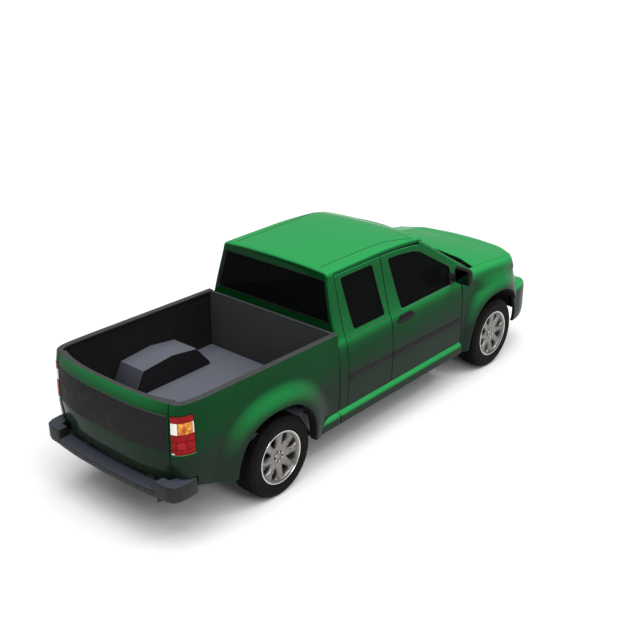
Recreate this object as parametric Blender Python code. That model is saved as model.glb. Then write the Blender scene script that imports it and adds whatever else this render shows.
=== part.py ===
"""Extended-cab pickup truck, built as separate panels, wheels, doors and lids.

The truck faces -Y, stands on Z = 0, and its own left side is +X.
"""
import math

import bmesh
import bpy
import numpy as np
from mathutils import Vector

# ---- driving dimensions, metres ------------------------------------------
WHEELBASE = 3.198
REAR_AXLE_Y = 1.451
FRONT_AXLE_Y = REAR_AXLE_Y - WHEELBASE
TYRE_RADIUS = 0.363
TYRE_WIDTH = 0.25
WHEEL_X = 0.680
KINGPIN_X = 0.600
ARCH_HALF_LENGTH = 0.465
ARCH_HEIGHT = 0.470
FLARE_OUT = 0.056
BODY_HALF_WIDTH = 0.790
GAP = 0.0003
SEAM = 0.006
DOOR_FRONT_Y = -1.157
DOOR_SPLIT_Y = -0.050
DOOR_REAR_Y = 0.575
DOOR_BOTTOM_Z = 0.458
CAB_REAR_Y = 0.700
BED_FRONT_Y = 0.706
BED_INNER_X = 0.742
BED_FLOOR_Z = 0.658
BED_FLOOR_END_Y = 2.412
TAILGATE_HALF_WIDTH = 0.645
TAILGATE_BOTTOM_Z = 0.545
TAILGATE_TOP_Z = 1.225
TAILGATE_HINGE = (0.0, 2.500, 0.620)
HOOD_HINGE = (0.0, -1.385, 1.212)
STEERING_CENTRE = (0.360, -0.760, 0.985)
STEERING_TILT = math.radians(25.0)

# half width of the body against height: cab sides, then bed sides
CAB_PROFILE = ((0.33, 0.762), (0.46, 0.778), (0.55, 0.785), (0.66, 0.790), (0.78, 0.790),
               (0.95, 0.783), (1.03, 0.774), (1.08, 0.762), (1.12, 0.744), (1.66, 0.609))
BED_PROFILE = ((0.33, 0.762), (0.46, 0.778), (0.55, 0.785), (0.66, 0.790), (0.78, 0.790),
               (0.95, 0.786), (1.12, 0.779), (1.18, 0.774), (1.24, 0.768))
REAR_INSET = ((0.33, -0.080), (0.52, -0.050), (0.60, -0.030), (0.72, -0.008), (0.83, 0.0),
              (1.12, -0.008), (1.23, -0.026))
NOSE_INSET = ((-2.60, 0.250), (-2.45, 0.120), (-2.30, 0.085), (-2.20, 0.055), (-2.10, 0.030),
              (-2.00, 0.012), (-1.90, 0.0))
HOOD_EDGE = ((-2.32, 1.072), (-2.155, 1.086), (-1.956, 1.113), (-1.765, 1.135),
             (-1.58, 1.148), (-1.345, 1.164), (-1.15, 1.150))
# plan of the bed side from the cab gap round the rear corner
BED_PATH = ((0.790, 0.706), (0.790, 0.800), (0.790, 0.900), (0.790, 0.980), (0.790, 1.050),
            (0.790, 1.150), (0.790, 1.300), (0.790, 1.451), (0.790, 1.600), (0.790, 1.750),
            (0.790, 1.860), (0.790, 1.950), (0.790, 2.020), (0.789, 2.120), (0.787, 2.240),
            (0.779, 2.345), (0.762, 2.410), (0.735, 2.456), (0.700, 2.482), (0.6555, 2.493))
BUMPER_PATH = ((0.0, -2.628), (0.30, -2.626), (0.50, -2.616), (0.60, -2.598), (0.66, -2.556),
               (0.70, -2.500), (0.735, -2.420), (0.758, -2.320), (0.768, -2.222))
LAMP_PATH = ((0.462, -2.392), (0.54, -2.372), (0.61, -2.335), (0.665, -2.285), (0.705, -2.230),
             (0.728, -2.172))


def table(pairs, value):
    """Read a value from a table of pairs, straight between its entries."""
    return float(np.interp(value, [p[0] for p in pairs], [p[1] for p in pairs]))


def flare(y, z):
    """How far the wheel flares stand out from the side at this place."""
    out = 0.0
    for axle, reach_front, reach_rear in ((REAR_AXLE_Y + 0.05, 0.50, 0.55),
                                          (FRONT_AXLE_Y, 0.60, 0.26)):
        side = (y - axle) / ARCH_HALF_LENGTH
        up = max(z - TYRE_RADIUS, 0.0) / ARCH_HEIGHT
        radius = (abs(side) ** 2.4 + up ** 2.4) ** (1.0 / 2.4)
        reach = reach_front if side < 0.0 else reach_rear
        reach = reach + (0.45 - reach) * min(up / max(radius, 0.01), 1.0) ** 2
        fall = min(max((radius - 1.0) / reach, 0.0), 1.0)
        out = max(out, FLARE_OUT * (1.0 - fall) ** 2 * (1.0 + 2.0 * fall))
    return out


def cab_x(y, z):
    """Half width of the cab side."""
    return table(CAB_PROFILE, z)


# ---- mesh helpers ---------------------------------------------------------
def solid(name, points, faces, triangulate=True):
    """Make a closed mesh object, faces turned outwards."""
    mesh = bpy.data.meshes.new(name)
    mesh.from_pydata([tuple(p) for p in points], [], faces)
    work = bmesh.new()
    work.from_mesh(mesh)
    bmesh.ops.remove_doubles(work, verts=work.verts, dist=1e-6)
    bmesh.ops.recalc_face_normals(work, faces=work.faces)
    if triangulate:
        bmesh.ops.triangulate(work, faces=work.faces)
    work.to_mesh(mesh)
    work.free()
    item = bpy.data.objects.new(name, mesh)
    bpy.context.scene.collection.objects.link(item)
    return item


def slab(name, outer, inner):
    """Close two matching grids of points into a panel with thickness."""
    rows = len(outer)
    cols = len(outer[0])
    points = [p for row in outer for p in row] + [p for row in inner for p in row]
    shift = rows * cols
    faces = []
    for i in range(rows - 1):
        for j in range(cols - 1):
            a = i * cols + j
            quad = (a, a + 1, a + cols + 1, a + cols)
            faces.append(quad)
            faces.append(tuple(v + shift for v in reversed(quad)))
    rim = [j for j in range(cols)]
    rim += [i * cols + cols - 1 for i in range(1, rows)]
    rim += [(rows - 1) * cols + j for j in range(cols - 2, -1, -1)]
    rim += [i * cols for i in range(rows - 2, 0, -1)]
    for k, a in enumerate(rim):
        b = rim[(k + 1) % len(rim)]
        faces.append((b, a, a + shift, b + shift))
    return solid(name, points, faces)


def loft(name, rings):
    """Join rings of equal length and close both ends."""
    count = len(rings[0])
    points = [p for ring in rings for p in ring]
    faces = []
    for i in range(len(rings) - 1):
        for j in range(count):
            a = i * count + j
            b = i * count + (j + 1) % count
            faces.append((a, b, b + count, a + count))
    faces.append(tuple(range(count)))
    faces.append(tuple(range(len(points) - count, len(points))))
    return solid(name, points, faces)


def prism(name, outline, low, high, axis="x"):
    """Extrude an outline along an axis; the outline is in the other two, in order."""
    def place(a, b, t):
        return {"x": (t, a, b), "y": (a, t, b), "z": (a, b, t)}[axis]
    return loft(name, [[place(a, b, low) for a, b in outline],
                       [place(a, b, high) for a, b in outline]])


def box(name, low, high):
    """A plain box between two corners."""
    outline = ((low[1], low[2]), (high[1], low[2]), (high[1], high[2]), (low[1], high[2]))
    return prism(name, outline, low[0], high[0])


def bar(name, path, width, height):
    """A rectangular bar through path points; its sections stand across Y."""
    rings = []
    for x, y, z in path:
        rings.append([(x - width / 2, y, z - height / 2), (x + width / 2, y, z - height / 2),
                      (x + width / 2, y, z + height / 2), (x - width / 2, y, z + height / 2)])
    return loft(name, rings)


def tube(name, path, radius, sides=12):
    """A round bar through path points."""
    rings = []
    for k, point in enumerate(path):
        before = Vector(path[max(k - 1, 0)])
        after = Vector(path[min(k + 1, len(path) - 1)])
        along = (after - before).normalized()
        helper = Vector((0, 0, 1)) if abs(along.z) < 0.9 else Vector((1, 0, 0))
        u = along.cross(helper).normalized()
        v = along.cross(u)
        r = radius[k] if isinstance(radius, (list, tuple)) else radius
        rings.append([Vector(point) + r * (math.cos(t) * u + math.sin(t) * v)
                      for t in [2 * math.pi * n / sides for n in range(sides)]])
    return loft(name, rings)


def lathe(name, profile, centre, sides, closed):
    """Turn a profile of (radius, x) about the X axis through the centre."""
    points = []
    rings = []
    for radius, x in profile:
        if radius < 1e-6:
            rings.append([len(points)])
            points.append((centre[0] + x, centre[1], centre[2]))
            continue
        start = len(points)
        rings.append(list(range(start, start + sides)))
        for n in range(sides):
            t = 2 * math.pi * n / sides
            points.append((centre[0] + x, centre[1] + radius * math.cos(t),
                           centre[2] + radius * math.sin(t)))
    faces = []
    last = len(rings) if closed else len(rings) - 1
    for k in range(last):
        a = rings[k]
        b = rings[(k + 1) % len(rings)]
        for n in range(sides):
            m = (n + 1) % sides
            if len(a) == 1:
                faces.append((a[0], b[n], b[m]))
            elif len(b) == 1:
                faces.append((a[n], a[m], b[0]))
            else:
                faces.append((a[n], a[m], b[m], b[n]))
    return solid(name, points, faces)


def boolean(target, tool, operation):
    """Join or cut with another object, which is used up."""
    change = target.modifiers.new("change", "BOOLEAN")
    change.operation = operation
    change.solver = "EXACT"
    change.object = tool
    bpy.context.view_layer.update()
    shape = target.evaluated_get(bpy.context.evaluated_depsgraph_get())
    mesh = bpy.data.meshes.new_from_object(shape)
    target.modifiers.clear()
    target.data = mesh
    bpy.data.objects.remove(tool)
    return target


def cut(target, *tools):
    """Take tools away from the target."""
    for tool in tools:
        boolean(target, tool, "DIFFERENCE")
    return target


def fuse(target, *tools):
    """Add tools to the target as one body."""
    for tool in tools:
        boolean(target, tool, "UNION")
    return target


def clean(item, angle=0.5):
    """Merge flat neighbours and drop slivers left by cutting."""
    work = bmesh.new()
    work.from_mesh(item.data)
    bmesh.ops.remove_doubles(work, verts=work.verts, dist=2e-5)
    bmesh.ops.dissolve_limit(work, angle_limit=math.radians(angle), verts=work.verts,
                             edges=work.edges)
    bmesh.ops.triangulate(work, faces=work.faces)
    bmesh.ops.dissolve_degenerate(work, edges=work.edges, dist=2e-5)
    bmesh.ops.triangulate(work, faces=work.faces)
    loose = [e for e in work.edges if not e.link_faces]
    bmesh.ops.delete(work, geom=loose, context="EDGES")
    bmesh.ops.delete(work, geom=[v for v in work.verts if not v.link_faces], context="VERTS")
    bmesh.ops.recalc_face_normals(work, faces=work.faces)
    work.to_mesh(item.data)
    work.free()
    return item


MATERIALS = {}


def material(name, colour, roughness, metallic=0.0, alpha=1.0):
    """One plain material, made once."""
    if name not in MATERIALS:
        made = bpy.data.materials.new(name)
        made.use_nodes = True
        shader = made.node_tree.nodes["Principled BSDF"]
        shader.inputs["Base Color"].default_value = (*colour, 1.0)
        shader.inputs["Roughness"].default_value = roughness
        shader.inputs["Metallic"].default_value = metallic
        shader.inputs["Alpha"].default_value = alpha
        MATERIALS[name] = made
    return MATERIALS[name]


PAINT = ("green_paint", (0.02, 0.30, 0.08), 0.3)
DARK = ("dark_plastic", (0.05, 0.05, 0.055), 0.6)
STEEL = ("chassis_steel", (0.06, 0.06, 0.065), 0.5, 0.6)
GLASS = ("dark_glass", (0.01, 0.01, 0.01), 0.1)
LINER = ("bed_liner", (0.12, 0.12, 0.13), 0.6)
RUBBER = ("tyre_rubber", (0.02, 0.02, 0.02), 0.8)
ALLOY = ("wheel_alloy", (0.55, 0.54, 0.52), 0.3, 0.9)
RED_LENS = ("red_lens", (0.5, 0.01, 0.02), 0.2)
CLEAR_LENS = ("clear_lens", (0.7, 0.7, 0.7), 0.1)
TRIM = ("cabin_trim", (0.10, 0.10, 0.11), 0.7)
CLOTH = ("seat_cloth", (0.14, 0.14, 0.15), 0.9)
CASTING = ("engine_casting", (0.35, 0.35, 0.36), 0.5, 0.7)


def finish(item, look, pivot=(0.0, 0.0, 0.0), smooth=False, tidy=True):
    """Give a piece its material, put its origin on its pivot and shade it."""
    if tidy:
        clean(item)
    item.data.materials.clear()
    item.data.materials.append(material(*look))
    shift = Vector(pivot)
    for vertex in item.data.vertices:
        vertex.co = vertex.co - shift
    item.location = shift
    for face in item.data.polygons:
        face.use_smooth = smooth
    return item


def arch(name, axle_y, inner_x, outer_x, length, height, low_z=-0.05, shift=0.0):
    """A cutter shaped like a wheel arch: upright sides and a round top."""
    outline = []
    for n in range(13):
        t = math.pi * n / 12
        c = math.cos(t)
        s = math.sin(t)
        power = 2.0 / 2.4
        outline.append((axle_y + shift + length * math.copysign(abs(c) ** power, c),
                        TYRE_RADIUS + height * s ** power))
    outline = [(axle_y + shift + length, low_z)] + outline + [(axle_y + shift - length, low_z)]
    return prism(name, outline, min(inner_x, outer_x), max(inner_x, outer_x))


# ---- chassis --------------------------------------------------------------
def make_frame():
    """Ladder frame with cross members, front arms and spring brackets."""
    parts = []
    for side in (-1, 1):
        rail = [(0.285 * side, -2.440, 0.530), (0.285 * side, -1.420, 0.530),
                (0.285 * side, -1.260, 0.415), (0.395 * side, -0.960, 0.415),
                (0.395 * side, 0.860, 0.415),
                (0.395 * side, 1.160, 0.545), (0.395 * side, 1.800, 0.545),
                (0.395 * side, 2.150, 0.500), (0.395 * side, 2.400, 0.500)]
        parts.append(bar("rail", rail, 0.070, 0.110))
        for y in (-0.880, -0.100, 0.560):
            parts.append(box("mount", (0.395 * side - 0.030, y - 0.030, 0.460),
                             (0.395 * side + 0.030, y + 0.030, 0.4797)))
        for y in (0.940, 2.030):
            parts.append(box("bracket", (min(0.40 * side, 0.51 * side), y - 0.020, 0.440),
                             (max(0.40 * side, 0.51 * side), y + 0.020, 0.520)))
        lower = [(0.300 * side, FRONT_AXLE_Y, 0.480), (0.430 * side, FRONT_AXLE_Y, 0.300),
                 (0.500 * side, FRONT_AXLE_Y, 0.200), (0.618 * side, FRONT_AXLE_Y, 0.196)]
        upper = [(0.300 * side, FRONT_AXLE_Y, 0.560), (0.450 * side, FRONT_AXLE_Y, 0.560),
                 (0.540 * side, FRONT_AXLE_Y, 0.5445), (0.618 * side, FRONT_AXLE_Y, 0.5445)]
        for path in (lower, upper):
            rings = []
            for k, (x, y, z) in enumerate(path):
                wide = (0.110, 0.060, 0.026, 0.020)[k]
                tall = (0.035, 0.030, 0.018, 0.013)[k]
                rings.append([(x, y - wide, z - tall), (x, y + wide, z - tall),
                              (x, y + wide, z + tall * 0.5), (x, y - wide, z + tall * 0.5)])
            parts.append(loft("arm", rings))
    for y, z, deep in ((-2.400, 0.530, 0.060), (-1.500, 0.445, 0.070), (-0.800, 0.370, 0.060),
                       (0.650, 0.345, 0.060), (1.080, 0.520, 0.050), (1.830, 0.545, 0.050),
                       (2.380, 0.500, 0.050)):
        wide = 0.290 if y < -1.2 else 0.400
        tall = 0.025 if -1.2 < y < 0.9 else 0.040
        parts.append(box("cross", (-wide, y - deep / 2, z - tall), (wide, y + deep / 2, z + tall)))
    body = fuse(parts[0], *parts[1:])
    body.name = "frame"
    return finish(body, STEEL)


def make_engine():
    """Engine and gearbox as one plain block, with its oil pan."""
    block = box("engine_block", (-0.235, -2.060, 0.580), (0.235, -1.330, 0.960))
    pan = box("pan", (-0.150, -1.980, 0.500), (0.150, -1.560, 0.600))
    gearbox = loft("gearbox", [[(-0.150, -1.340, 0.465), (0.150, -1.340, 0.465),
                                (0.150, -1.340, 0.605), (-0.150, -1.340, 0.605)],
                               [(-0.070, -0.620, 0.405), (0.070, -0.620, 0.405),
                                (0.070, -0.620, 0.560), (-0.070, -0.620, 0.560)]])
    radiator = box("radiator", (-0.330, -2.300, 0.600), (0.330, -2.250, 0.980))
    hose = box("hose", (-0.060, -2.260, 0.700), (0.060, -2.040, 0.780))
    feet = [box("foot", (min(0.15 * s, 0.284 * s), -1.760, 0.5853),
                (max(0.15 * s, 0.284 * s), -1.640, 0.640)) for s in (-1, 1)]
    fuse(block, pan, gearbox, radiator, hose, *feet)
    return finish(block, CASTING)


def make_rear_axle():
    """Rear axle tube, final drive, leaf springs and propeller shaft."""
    y = REAR_AXLE_Y
    z = TYRE_RADIUS
    body = tube("rear_axle", [(-0.735, y, z), (-0.640, y, z), (-0.6395, y, z), (0.6395, y, z),
                              (0.640, y, z), (0.735, y, z)],
                [0.026, 0.026, 0.040, 0.040, 0.026, 0.026], 12)
    drive = tube("drive", [(-0.110, y, z), (-0.060, y, z), (0.060, y, z), (0.110, y, z)],
                 [0.070, 0.130, 0.130, 0.070], 12)
    shaft = tube("shaft", [(0.0, -0.6185, 0.440), (0.0, 1.300, 0.385), (0.0, 1.400, 0.375)], 0.028, 8)
    parts = [drive, shaft]
    for side in (-1, 1):
        lo, hi = sorted((0.455 * side, 0.505 * side))
        outline = [(0.920, 0.4397), (0.960, 0.4397), (1.200, 0.418), (1.451, 0.412), (1.700, 0.418),
                   (2.010, 0.4397), (2.050, 0.4397), (2.050, 0.418), (2.010, 0.418),
                   (1.700, 0.394), (1.451, 0.386), (1.200, 0.394), (0.960, 0.418), (0.920, 0.418)]
        parts.append(prism("spring", outline, lo, hi))
        parts.append(tube("plate", [(0.590 * side, y, z), (0.606 * side, y, z)], 0.130, 12))
    fuse(body, *parts)
    return finish(body, STEEL)


def make_exhaust():
    """Silencer and tail pipe below the floor on the right side."""
    pipe = tube("exhaust", [(-0.200, -0.900, 0.300), (-0.250, -0.500, 0.290), (-0.250, 0.620, 0.290),
                            (-0.330, 0.760, 0.285), (-0.660, 0.930, 0.270)], 0.026, 8)
    can = tube("can", [(-0.250, -0.200, 0.290), (-0.250, -0.150, 0.290), (-0.250, 0.450, 0.290),
                       (-0.250, 0.500, 0.290)], [0.040, 0.082, 0.082, 0.040], 12)
    hanger = box("hanger", (-0.365, 0.100, 0.300), (-0.245, 0.130, 0.3597))
    fuse(pipe, hanger)
    fuse(pipe, can)
    return finish(pipe, STEEL, smooth=False)


def make_fuel_tank():
    """Moulded fuel tank beside the left rail."""
    outline = [(0.445, 0.270), (0.475, 0.245), (0.600, 0.245), (0.625, 0.275), (0.625, 0.440),
               (0.605, 0.4797), (0.470, 0.4797), (0.445, 0.440)]
    return finish(prism("fuel_tank", outline, -0.250, 0.640, "y"), DARK)


def tyre_profile(width, radius, bead):
    """Closed tyre section as (radius, x), x outwards from the wheel's middle."""
    half = width / 2
    return [(bead, -half + 0.015), (bead + 0.068, -half), (radius - 0.025, -half + 0.013),
            (radius, -half + 0.050), (radius, half - 0.050), (radius - 0.025, half - 0.013),
            (bead + 0.068, half), (bead, half - 0.015)]


def make_tyre(name, side, axle_y):
    """One tyre, open in the middle for its rim."""
    centre = (WHEEL_X * side, axle_y, TYRE_RADIUS)
    body = lathe(name, tyre_profile(TYRE_WIDTH, TYRE_RADIUS, 0.2165), centre, 36, True)
    return finish(body, RUBBER, centre, smooth=True, tidy=False)


def make_rim(name, side, axle_y):
    """Cast rim with eight windows, hub, blind bore and brake disc."""
    centre = (WHEEL_X * side, axle_y, TYRE_RADIUS)
    section = [(0.0, 0.090), (0.050, 0.086), (0.192, 0.096), (0.208, 0.114), (0.2340, 0.1215),
               (0.2340, 0.1150), (0.2150, 0.1125), (0.2150, -0.1125), (0.2300, -0.1150),
               (0.2300, -0.120), (0.2050, -0.117), (0.2010, 0.062), (0.070, 0.056),
               (0.068, -0.012), (0.135, -0.012), (0.135, -0.030), (0.033, -0.032), (0.033, 0.060),
               (0.0, 0.060)]
    body = lathe(name, [(r, x * side) for r, x in section], centre, 24, False)
    for n in range(8):
        turn = 2 * math.pi * (n + 0.5) / 8
        outline = []
        for radius, spread in ((0.084, 0.130), (0.186, 0.225), (0.186, -0.225), (0.084, -0.130)):
            outline.append((axle_y + radius * math.cos(turn + spread),
                            TYRE_RADIUS + radius * math.sin(turn + spread)))
        lo, hi = sorted(((WHEEL_X + 0.048) * side, (WHEEL_X + 0.140) * side))
        cut(body, prism("window", outline, lo, hi))
    return finish(body, ALLOY, centre, smooth=False)


def make_knuckle(name, side):
    """Steering knuckle: upright post, wheel spindle and steering arm."""
    x = KINGPIN_X * side
    y = FRONT_AXLE_Y
    z = TYRE_RADIUS
    body = tube(name, [(x, y, 0.210), (x, y, 0.524)], 0.026, 10)
    spindle = tube("spindle", [(0.590 * side, y, z), (0.639 * side, y, z), (0.6395 * side, y, z),
                               (0.733 * side, y, z)], [0.055, 0.055, 0.026, 0.026], 12)
    arm = loft("arm", [[(x - 0.012, y, 0.270), (x + 0.012, y, 0.270), (x + 0.012, y, 0.300),
                        (x - 0.012, y, 0.300)],
                       [(x - 0.050 * side - 0.012, y + 0.130, 0.270),
                        (x - 0.050 * side + 0.012, y + 0.130, 0.270),
                        (x - 0.050 * side + 0.012, y + 0.130, 0.295),
                        (x - 0.050 * side - 0.012, y + 0.130, 0.295)]])
    fuse(body, spindle, arm)
    return finish(body, STEEL, (x, y, z))


def make_spare():
    """Spare wheel flat below the rear of the bed, hung from its cross member."""
    profile = [(0.070, -0.040), (0.200, -0.050), (0.260, -0.090), (0.320, -0.090), (0.342, -0.050),
               (0.342, 0.050), (0.320, 0.090), (0.260, 0.090), (0.200, 0.050), (0.070, 0.040)]
    body = lathe("spare_wheel", profile, (0, 0, 0), 24, True)
    for vertex in body.data.vertices:
        x, y, z = vertex.co
        vertex.co = (z, 2.010 + y, 0.365 + x)
    post = box("post", (-0.090, 1.840, 0.380), (0.090, 2.100, 0.4147))
    winch = box("winch", (-0.040, 1.815, 0.400), (0.040, 1.845, 0.5047))
    fuse(body, post, winch)
    return finish(body, RUBBER)


# ---- cab ------------------------------------------------------------------
ROOF_SECTION = ((0.610, 1.652), (0.604, 1.676), (0.580, 1.692), (0.480, 1.702), (0.300, 1.711),
                (0.0, 1.716))


ROOF_INNER_X = ((0.0, 0.0), (0.300, 0.295), (0.480, 0.470), (0.580, 0.563), (0.604, 0.586),
                (0.610, 0.596))
ROOF_THICKNESS = ((0.0, 0.034), (0.480, 0.032), (0.580, 0.026), (0.604, 0.014), (0.610, 0.0))


def roof_drop(y):
    """How far the roof line falls towards the windshield."""
    return table(((-0.80, 0.075), (-0.676, 0.048), (-0.50, 0.022), (-0.25, 0.006), (0.0, 0.0),
                  (0.66, 0.004)), y)


def pillar_line(y):
    """Height of the windshield's side edge seen from the side."""
    return 1.612 + 0.640 * (y + 0.676)


def side_slab(name, side, ys, zs, out, thick):
    """A panel on the body side; out and thick give its skin and thickness."""
    outer = [[(side * out(y, z), y, z) for y in ys] for z in zs]
    inner = [[(side * (out(y, z) - thick(y, z)), y, z) for y in ys] for z in zs]
    return slab(name, outer, inner)


def windshield_edge(t):
    """Point on the left edge of the windshield, t from its foot to the roof."""
    return Vector((0.668 + (0.590 - 0.668) * t, -1.405 + (-0.676 + 1.405) * t,
                   1.146 + (1.612 - 1.146) * t))


def windshield_point(u, v, inset=0.0):
    """Point on the windshield; u -1..1 across, v 0..1 up."""
    edge = windshield_edge(v)
    bow = (0.105 + (0.078 - 0.105) * v) * (1 - u * u)
    rise = (0.018 + (0.046 - 0.018) * v) * (1 - u * u)
    return Vector((edge.x * u, edge.y - bow + inset * 0.55, edge.z + rise - inset * 0.83))


def make_pillar(side, grow):
    """Windshield pillar between the glass edge and the door frame."""
    rings = []
    for t in (-0.04 - 2.0 * grow, 0.25, 0.5, 0.75, 1.0, 1.06):
        w = windshield_edge(t)
        x_top = cab_x(w.y, w.z - 0.016) - 0.002 + grow
        x_low = cab_x(w.y, w.z - 0.044) - 0.001 + grow
        rings.append([(side * (w.x + 0.001 - grow), w.y + 0.001, w.z - 0.001 + grow),
                      (side * x_top, w.y + 0.006, w.z - 0.010 + grow),
                      (side * x_low, w.y + 0.008, w.z - 0.040 - grow),
                      (side * (w.x - 0.012 - grow), w.y + 0.010, w.z - 0.040 - grow)])
    return loft("pillar", rings)


def make_cab():
    """Cab shell: floor, fire wall, sills, pillars, back panel and roof."""
    across = [-p[0] for p in ROOF_SECTION] + [p[0] for p in reversed(ROOF_SECTION[:-1])]
    heights = [p[1] for p in ROOF_SECTION] + [p[1] for p in reversed(ROOF_SECTION[:-1])]
    outer = []
    inner = []
    for v in (0.0, 0.12, 0.3, 0.5, 0.75, 1.0):
        row_out = []
        row_in = []
        for x, z in zip(across, heights):
            front = -0.676 - 0.070 * (1 - (x / 0.61) ** 2)
            y = front + (0.652 - front) * v
            fold = max(0.0, 1 - v / 0.12) * 0.010 * (1 - (x / 0.61) ** 2)
            top = z - roof_drop(y) - fold
            row_out.append((x, y, top))
            row_in.append((math.copysign(table(ROOF_INNER_X, abs(x)), x), y,
                           top - table(ROOF_THICKNESS, abs(x))))
        outer.append(row_out)
        inner.append(row_in)
    shell = slab("cab_shell", outer, inner)
    parts = []
    sill_z = (0.345, 0.360, 0.425, 0.446, 0.4525)
    sill_x = {0.345: 0.780, 0.360: 0.808, 0.425: 0.812, 0.446: 0.795, 0.4525: 0.770}
    for side in (-1, 1):
        parts.append(side_slab("sill", side, (-1.160, 0.0, 0.699), sill_z,
                               lambda y, z: sill_x[z], lambda y, z: sill_x[z] - 0.670))
        parts.append(side_slab("corner", side, (0.581, 0.640, 0.699),
                               (0.400, 0.55, 0.66, 0.78, 0.95, 1.03, 1.08, 1.12, 1.40, 1.660),
                               cab_x, lambda y, z: 0.060))
        parts.append(make_pillar(side, 0.0))
        parts.append(side_slab("cowl_side", side, (-1.420, -1.300, -1.1655),
                               (0.90, 1.00, 1.08, 1.135),
                               lambda y, z: 0.690, lambda y, z: 0.070))
    parts.append(box("floor", (-0.682, -1.230, 0.480), (0.682, 0.660, 0.500)))
    for side in (-1, 1):
        lo, hi = sorted((0.630 * side, 0.682 * side))
        parts.append(box("sill_inner", (lo, -1.160, 0.400), (hi, 0.690, 0.500)))
    parts.append(box("fire_wall", (-0.690, -1.235, 0.480), (0.690, -1.205, 1.110)))
    tunnel = prism("tunnel", [(-0.200, 0.490), (-0.170, 0.640), (0.170, 0.640), (0.200, 0.490)],
                   -1.220, -0.565, "y")
    parts.append(tunnel)
    outer = []
    inner = []
    for z in (0.481, 0.66, 0.95, 1.12, 1.22, 1.40, 1.668):
        wide = cab_x(0, z) - 0.004
        y = table(((0.48, 0.699), (1.20, 0.699), (1.66, 0.657), (1.70, 0.652)), z)
        outer.append([(wide * u, y, z) for u in (-1.0, -0.8, 0.0, 0.8, 1.0)])
        inner.append([(wide * u, y - 0.045, z) for u in (-1.0, -0.8, 0.0, 0.8, 1.0)])
    parts.append(slab("back", outer, inner))
    outer = []
    inner = []
    for v, drop in ((0.0, 0.040), (0.30, 0.020), (0.45, 0.012), (1.0, 0.020)):
        row_out = []
        row_in = []
        for u in (-1.0, -0.6, 0.0, 0.6, 1.0):
            foot = windshield_point(u, 0.0)
            y = foot.y - 0.050 + (-1.200 - foot.y + 0.050) * v
            row_out.append((0.700 * u, y, foot.z - drop))
            row_in.append((0.700 * u, y, foot.z - drop - 0.045))
        outer.append(row_out)
        inner.append(row_in)
    parts.append(slab("cowl", outer, inner))
    fuse(shell, *parts)
    window = [(-0.687, 1.262), (0.687, 1.262), (0.585, 1.612), (-0.585, 1.612)]
    cut(shell, prism("rear_hole", window, 0.55, 0.80, "y"))
    bore = box("gearbox_room", (-0.160, -1.30, 0.40), (0.160, -0.590, 0.615))
    cut(shell, bore)
    return finish(shell, PAINT)


def make_windshield():
    """Windshield glass, bowed across."""
    us = (-0.985, -0.75, -0.45, 0.0, 0.45, 0.75, 0.985)
    vs = (0.015, 0.35, 0.65, 0.978)
    outer = [[windshield_point(u, v) for u in us] for v in vs]
    inner = [[windshield_point(u, v, 0.006) for u in us] for v in vs]
    return finish(slab("windshield", outer, inner), GLASS)


def make_rear_window():
    """Flat rear window of the cab."""
    def back(z):
        return table(((0.48, 0.699), (1.20, 0.699), (1.66, 0.657)), z) - 0.012
    rows = ((1.2624, 0.6865), (1.6116, 0.5847))
    outer = [[(x * u, back(z), z) for u in (-1, 0, 1)] for z, x in rows]
    inner = [[(x * u, back(z) - 0.006, z) for u in (-1, 0, 1)] for z, x in rows]
    return finish(slab("rear_window", outer, inner), GLASS)


FRONT_WINDOW = ((-1.030, 1.118), (-0.225, 1.118), (-0.150, 1.590), (-0.350, 1.578),
                (-0.520, 1.558), (-0.620, 1.528), (-1.030, 1.275))
REAR_WINDOW = ((0.015, 1.140), (0.445, 1.142), (0.505, 1.600), (0.075, 1.600))


def make_door(name, side, front):
    """A door with its window frame; the hinge is at its outer edge."""
    if front:
        ys = (DOOR_FRONT_Y, -0.90, -0.62, -0.35, DOOR_SPLIT_Y - SEAM / 2)
        pivot = (0.803 * side, DOOR_FRONT_Y, 0.800)
        free = ys[-1]
        window = FRONT_WINDOW
    else:
        ys = (DOOR_SPLIT_Y + SEAM / 2, 0.15, 0.36, DOOR_REAR_Y)
        pivot = (0.803 * side, DOOR_REAR_Y, 0.800)
        free = ys[0]
        window = REAR_WINDOW
    zs = (DOOR_BOTTOM_Z, 0.55, 0.66, 0.78, 0.95, 1.03, 1.08, 1.12, 1.36, 1.640)

    def thick(z):
        return table(((1.03, 0.085), (1.12, 0.050), (1.16, 0.038)), z)
    outer = [[(side * cab_x(y, z), y, z) for y in ys] for z in zs]
    inner = []
    for z in zs:
        row = []
        for y in ys:
            inset = 0.026 if z < 1.10 else 0.012
            shift = 0.0
            if y == free:
                shift = -inset if front else inset
            row.append((side * (cab_x(y, z) - thick(z)), y + shift, z))
        inner.append(row)
    body = slab(name, outer, inner)
    lo, hi = sorted((0.40 * side, 0.95 * side))
    if front:
        top = [(y, pillar_line(y) - 0.054) for y in (-1.40, -1.0, -0.62)]
        top += [(-0.50, 1.602), (-0.30, 1.626), (-0.10, 1.635), (0.10, 1.637), (0.10, 1.90), (-1.40, 1.90)]
        cut(body, prism("above", top, lo, hi))
    cut(body, prism("hole", window, lo, hi))
    return finish(body, PAINT, pivot)


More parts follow.
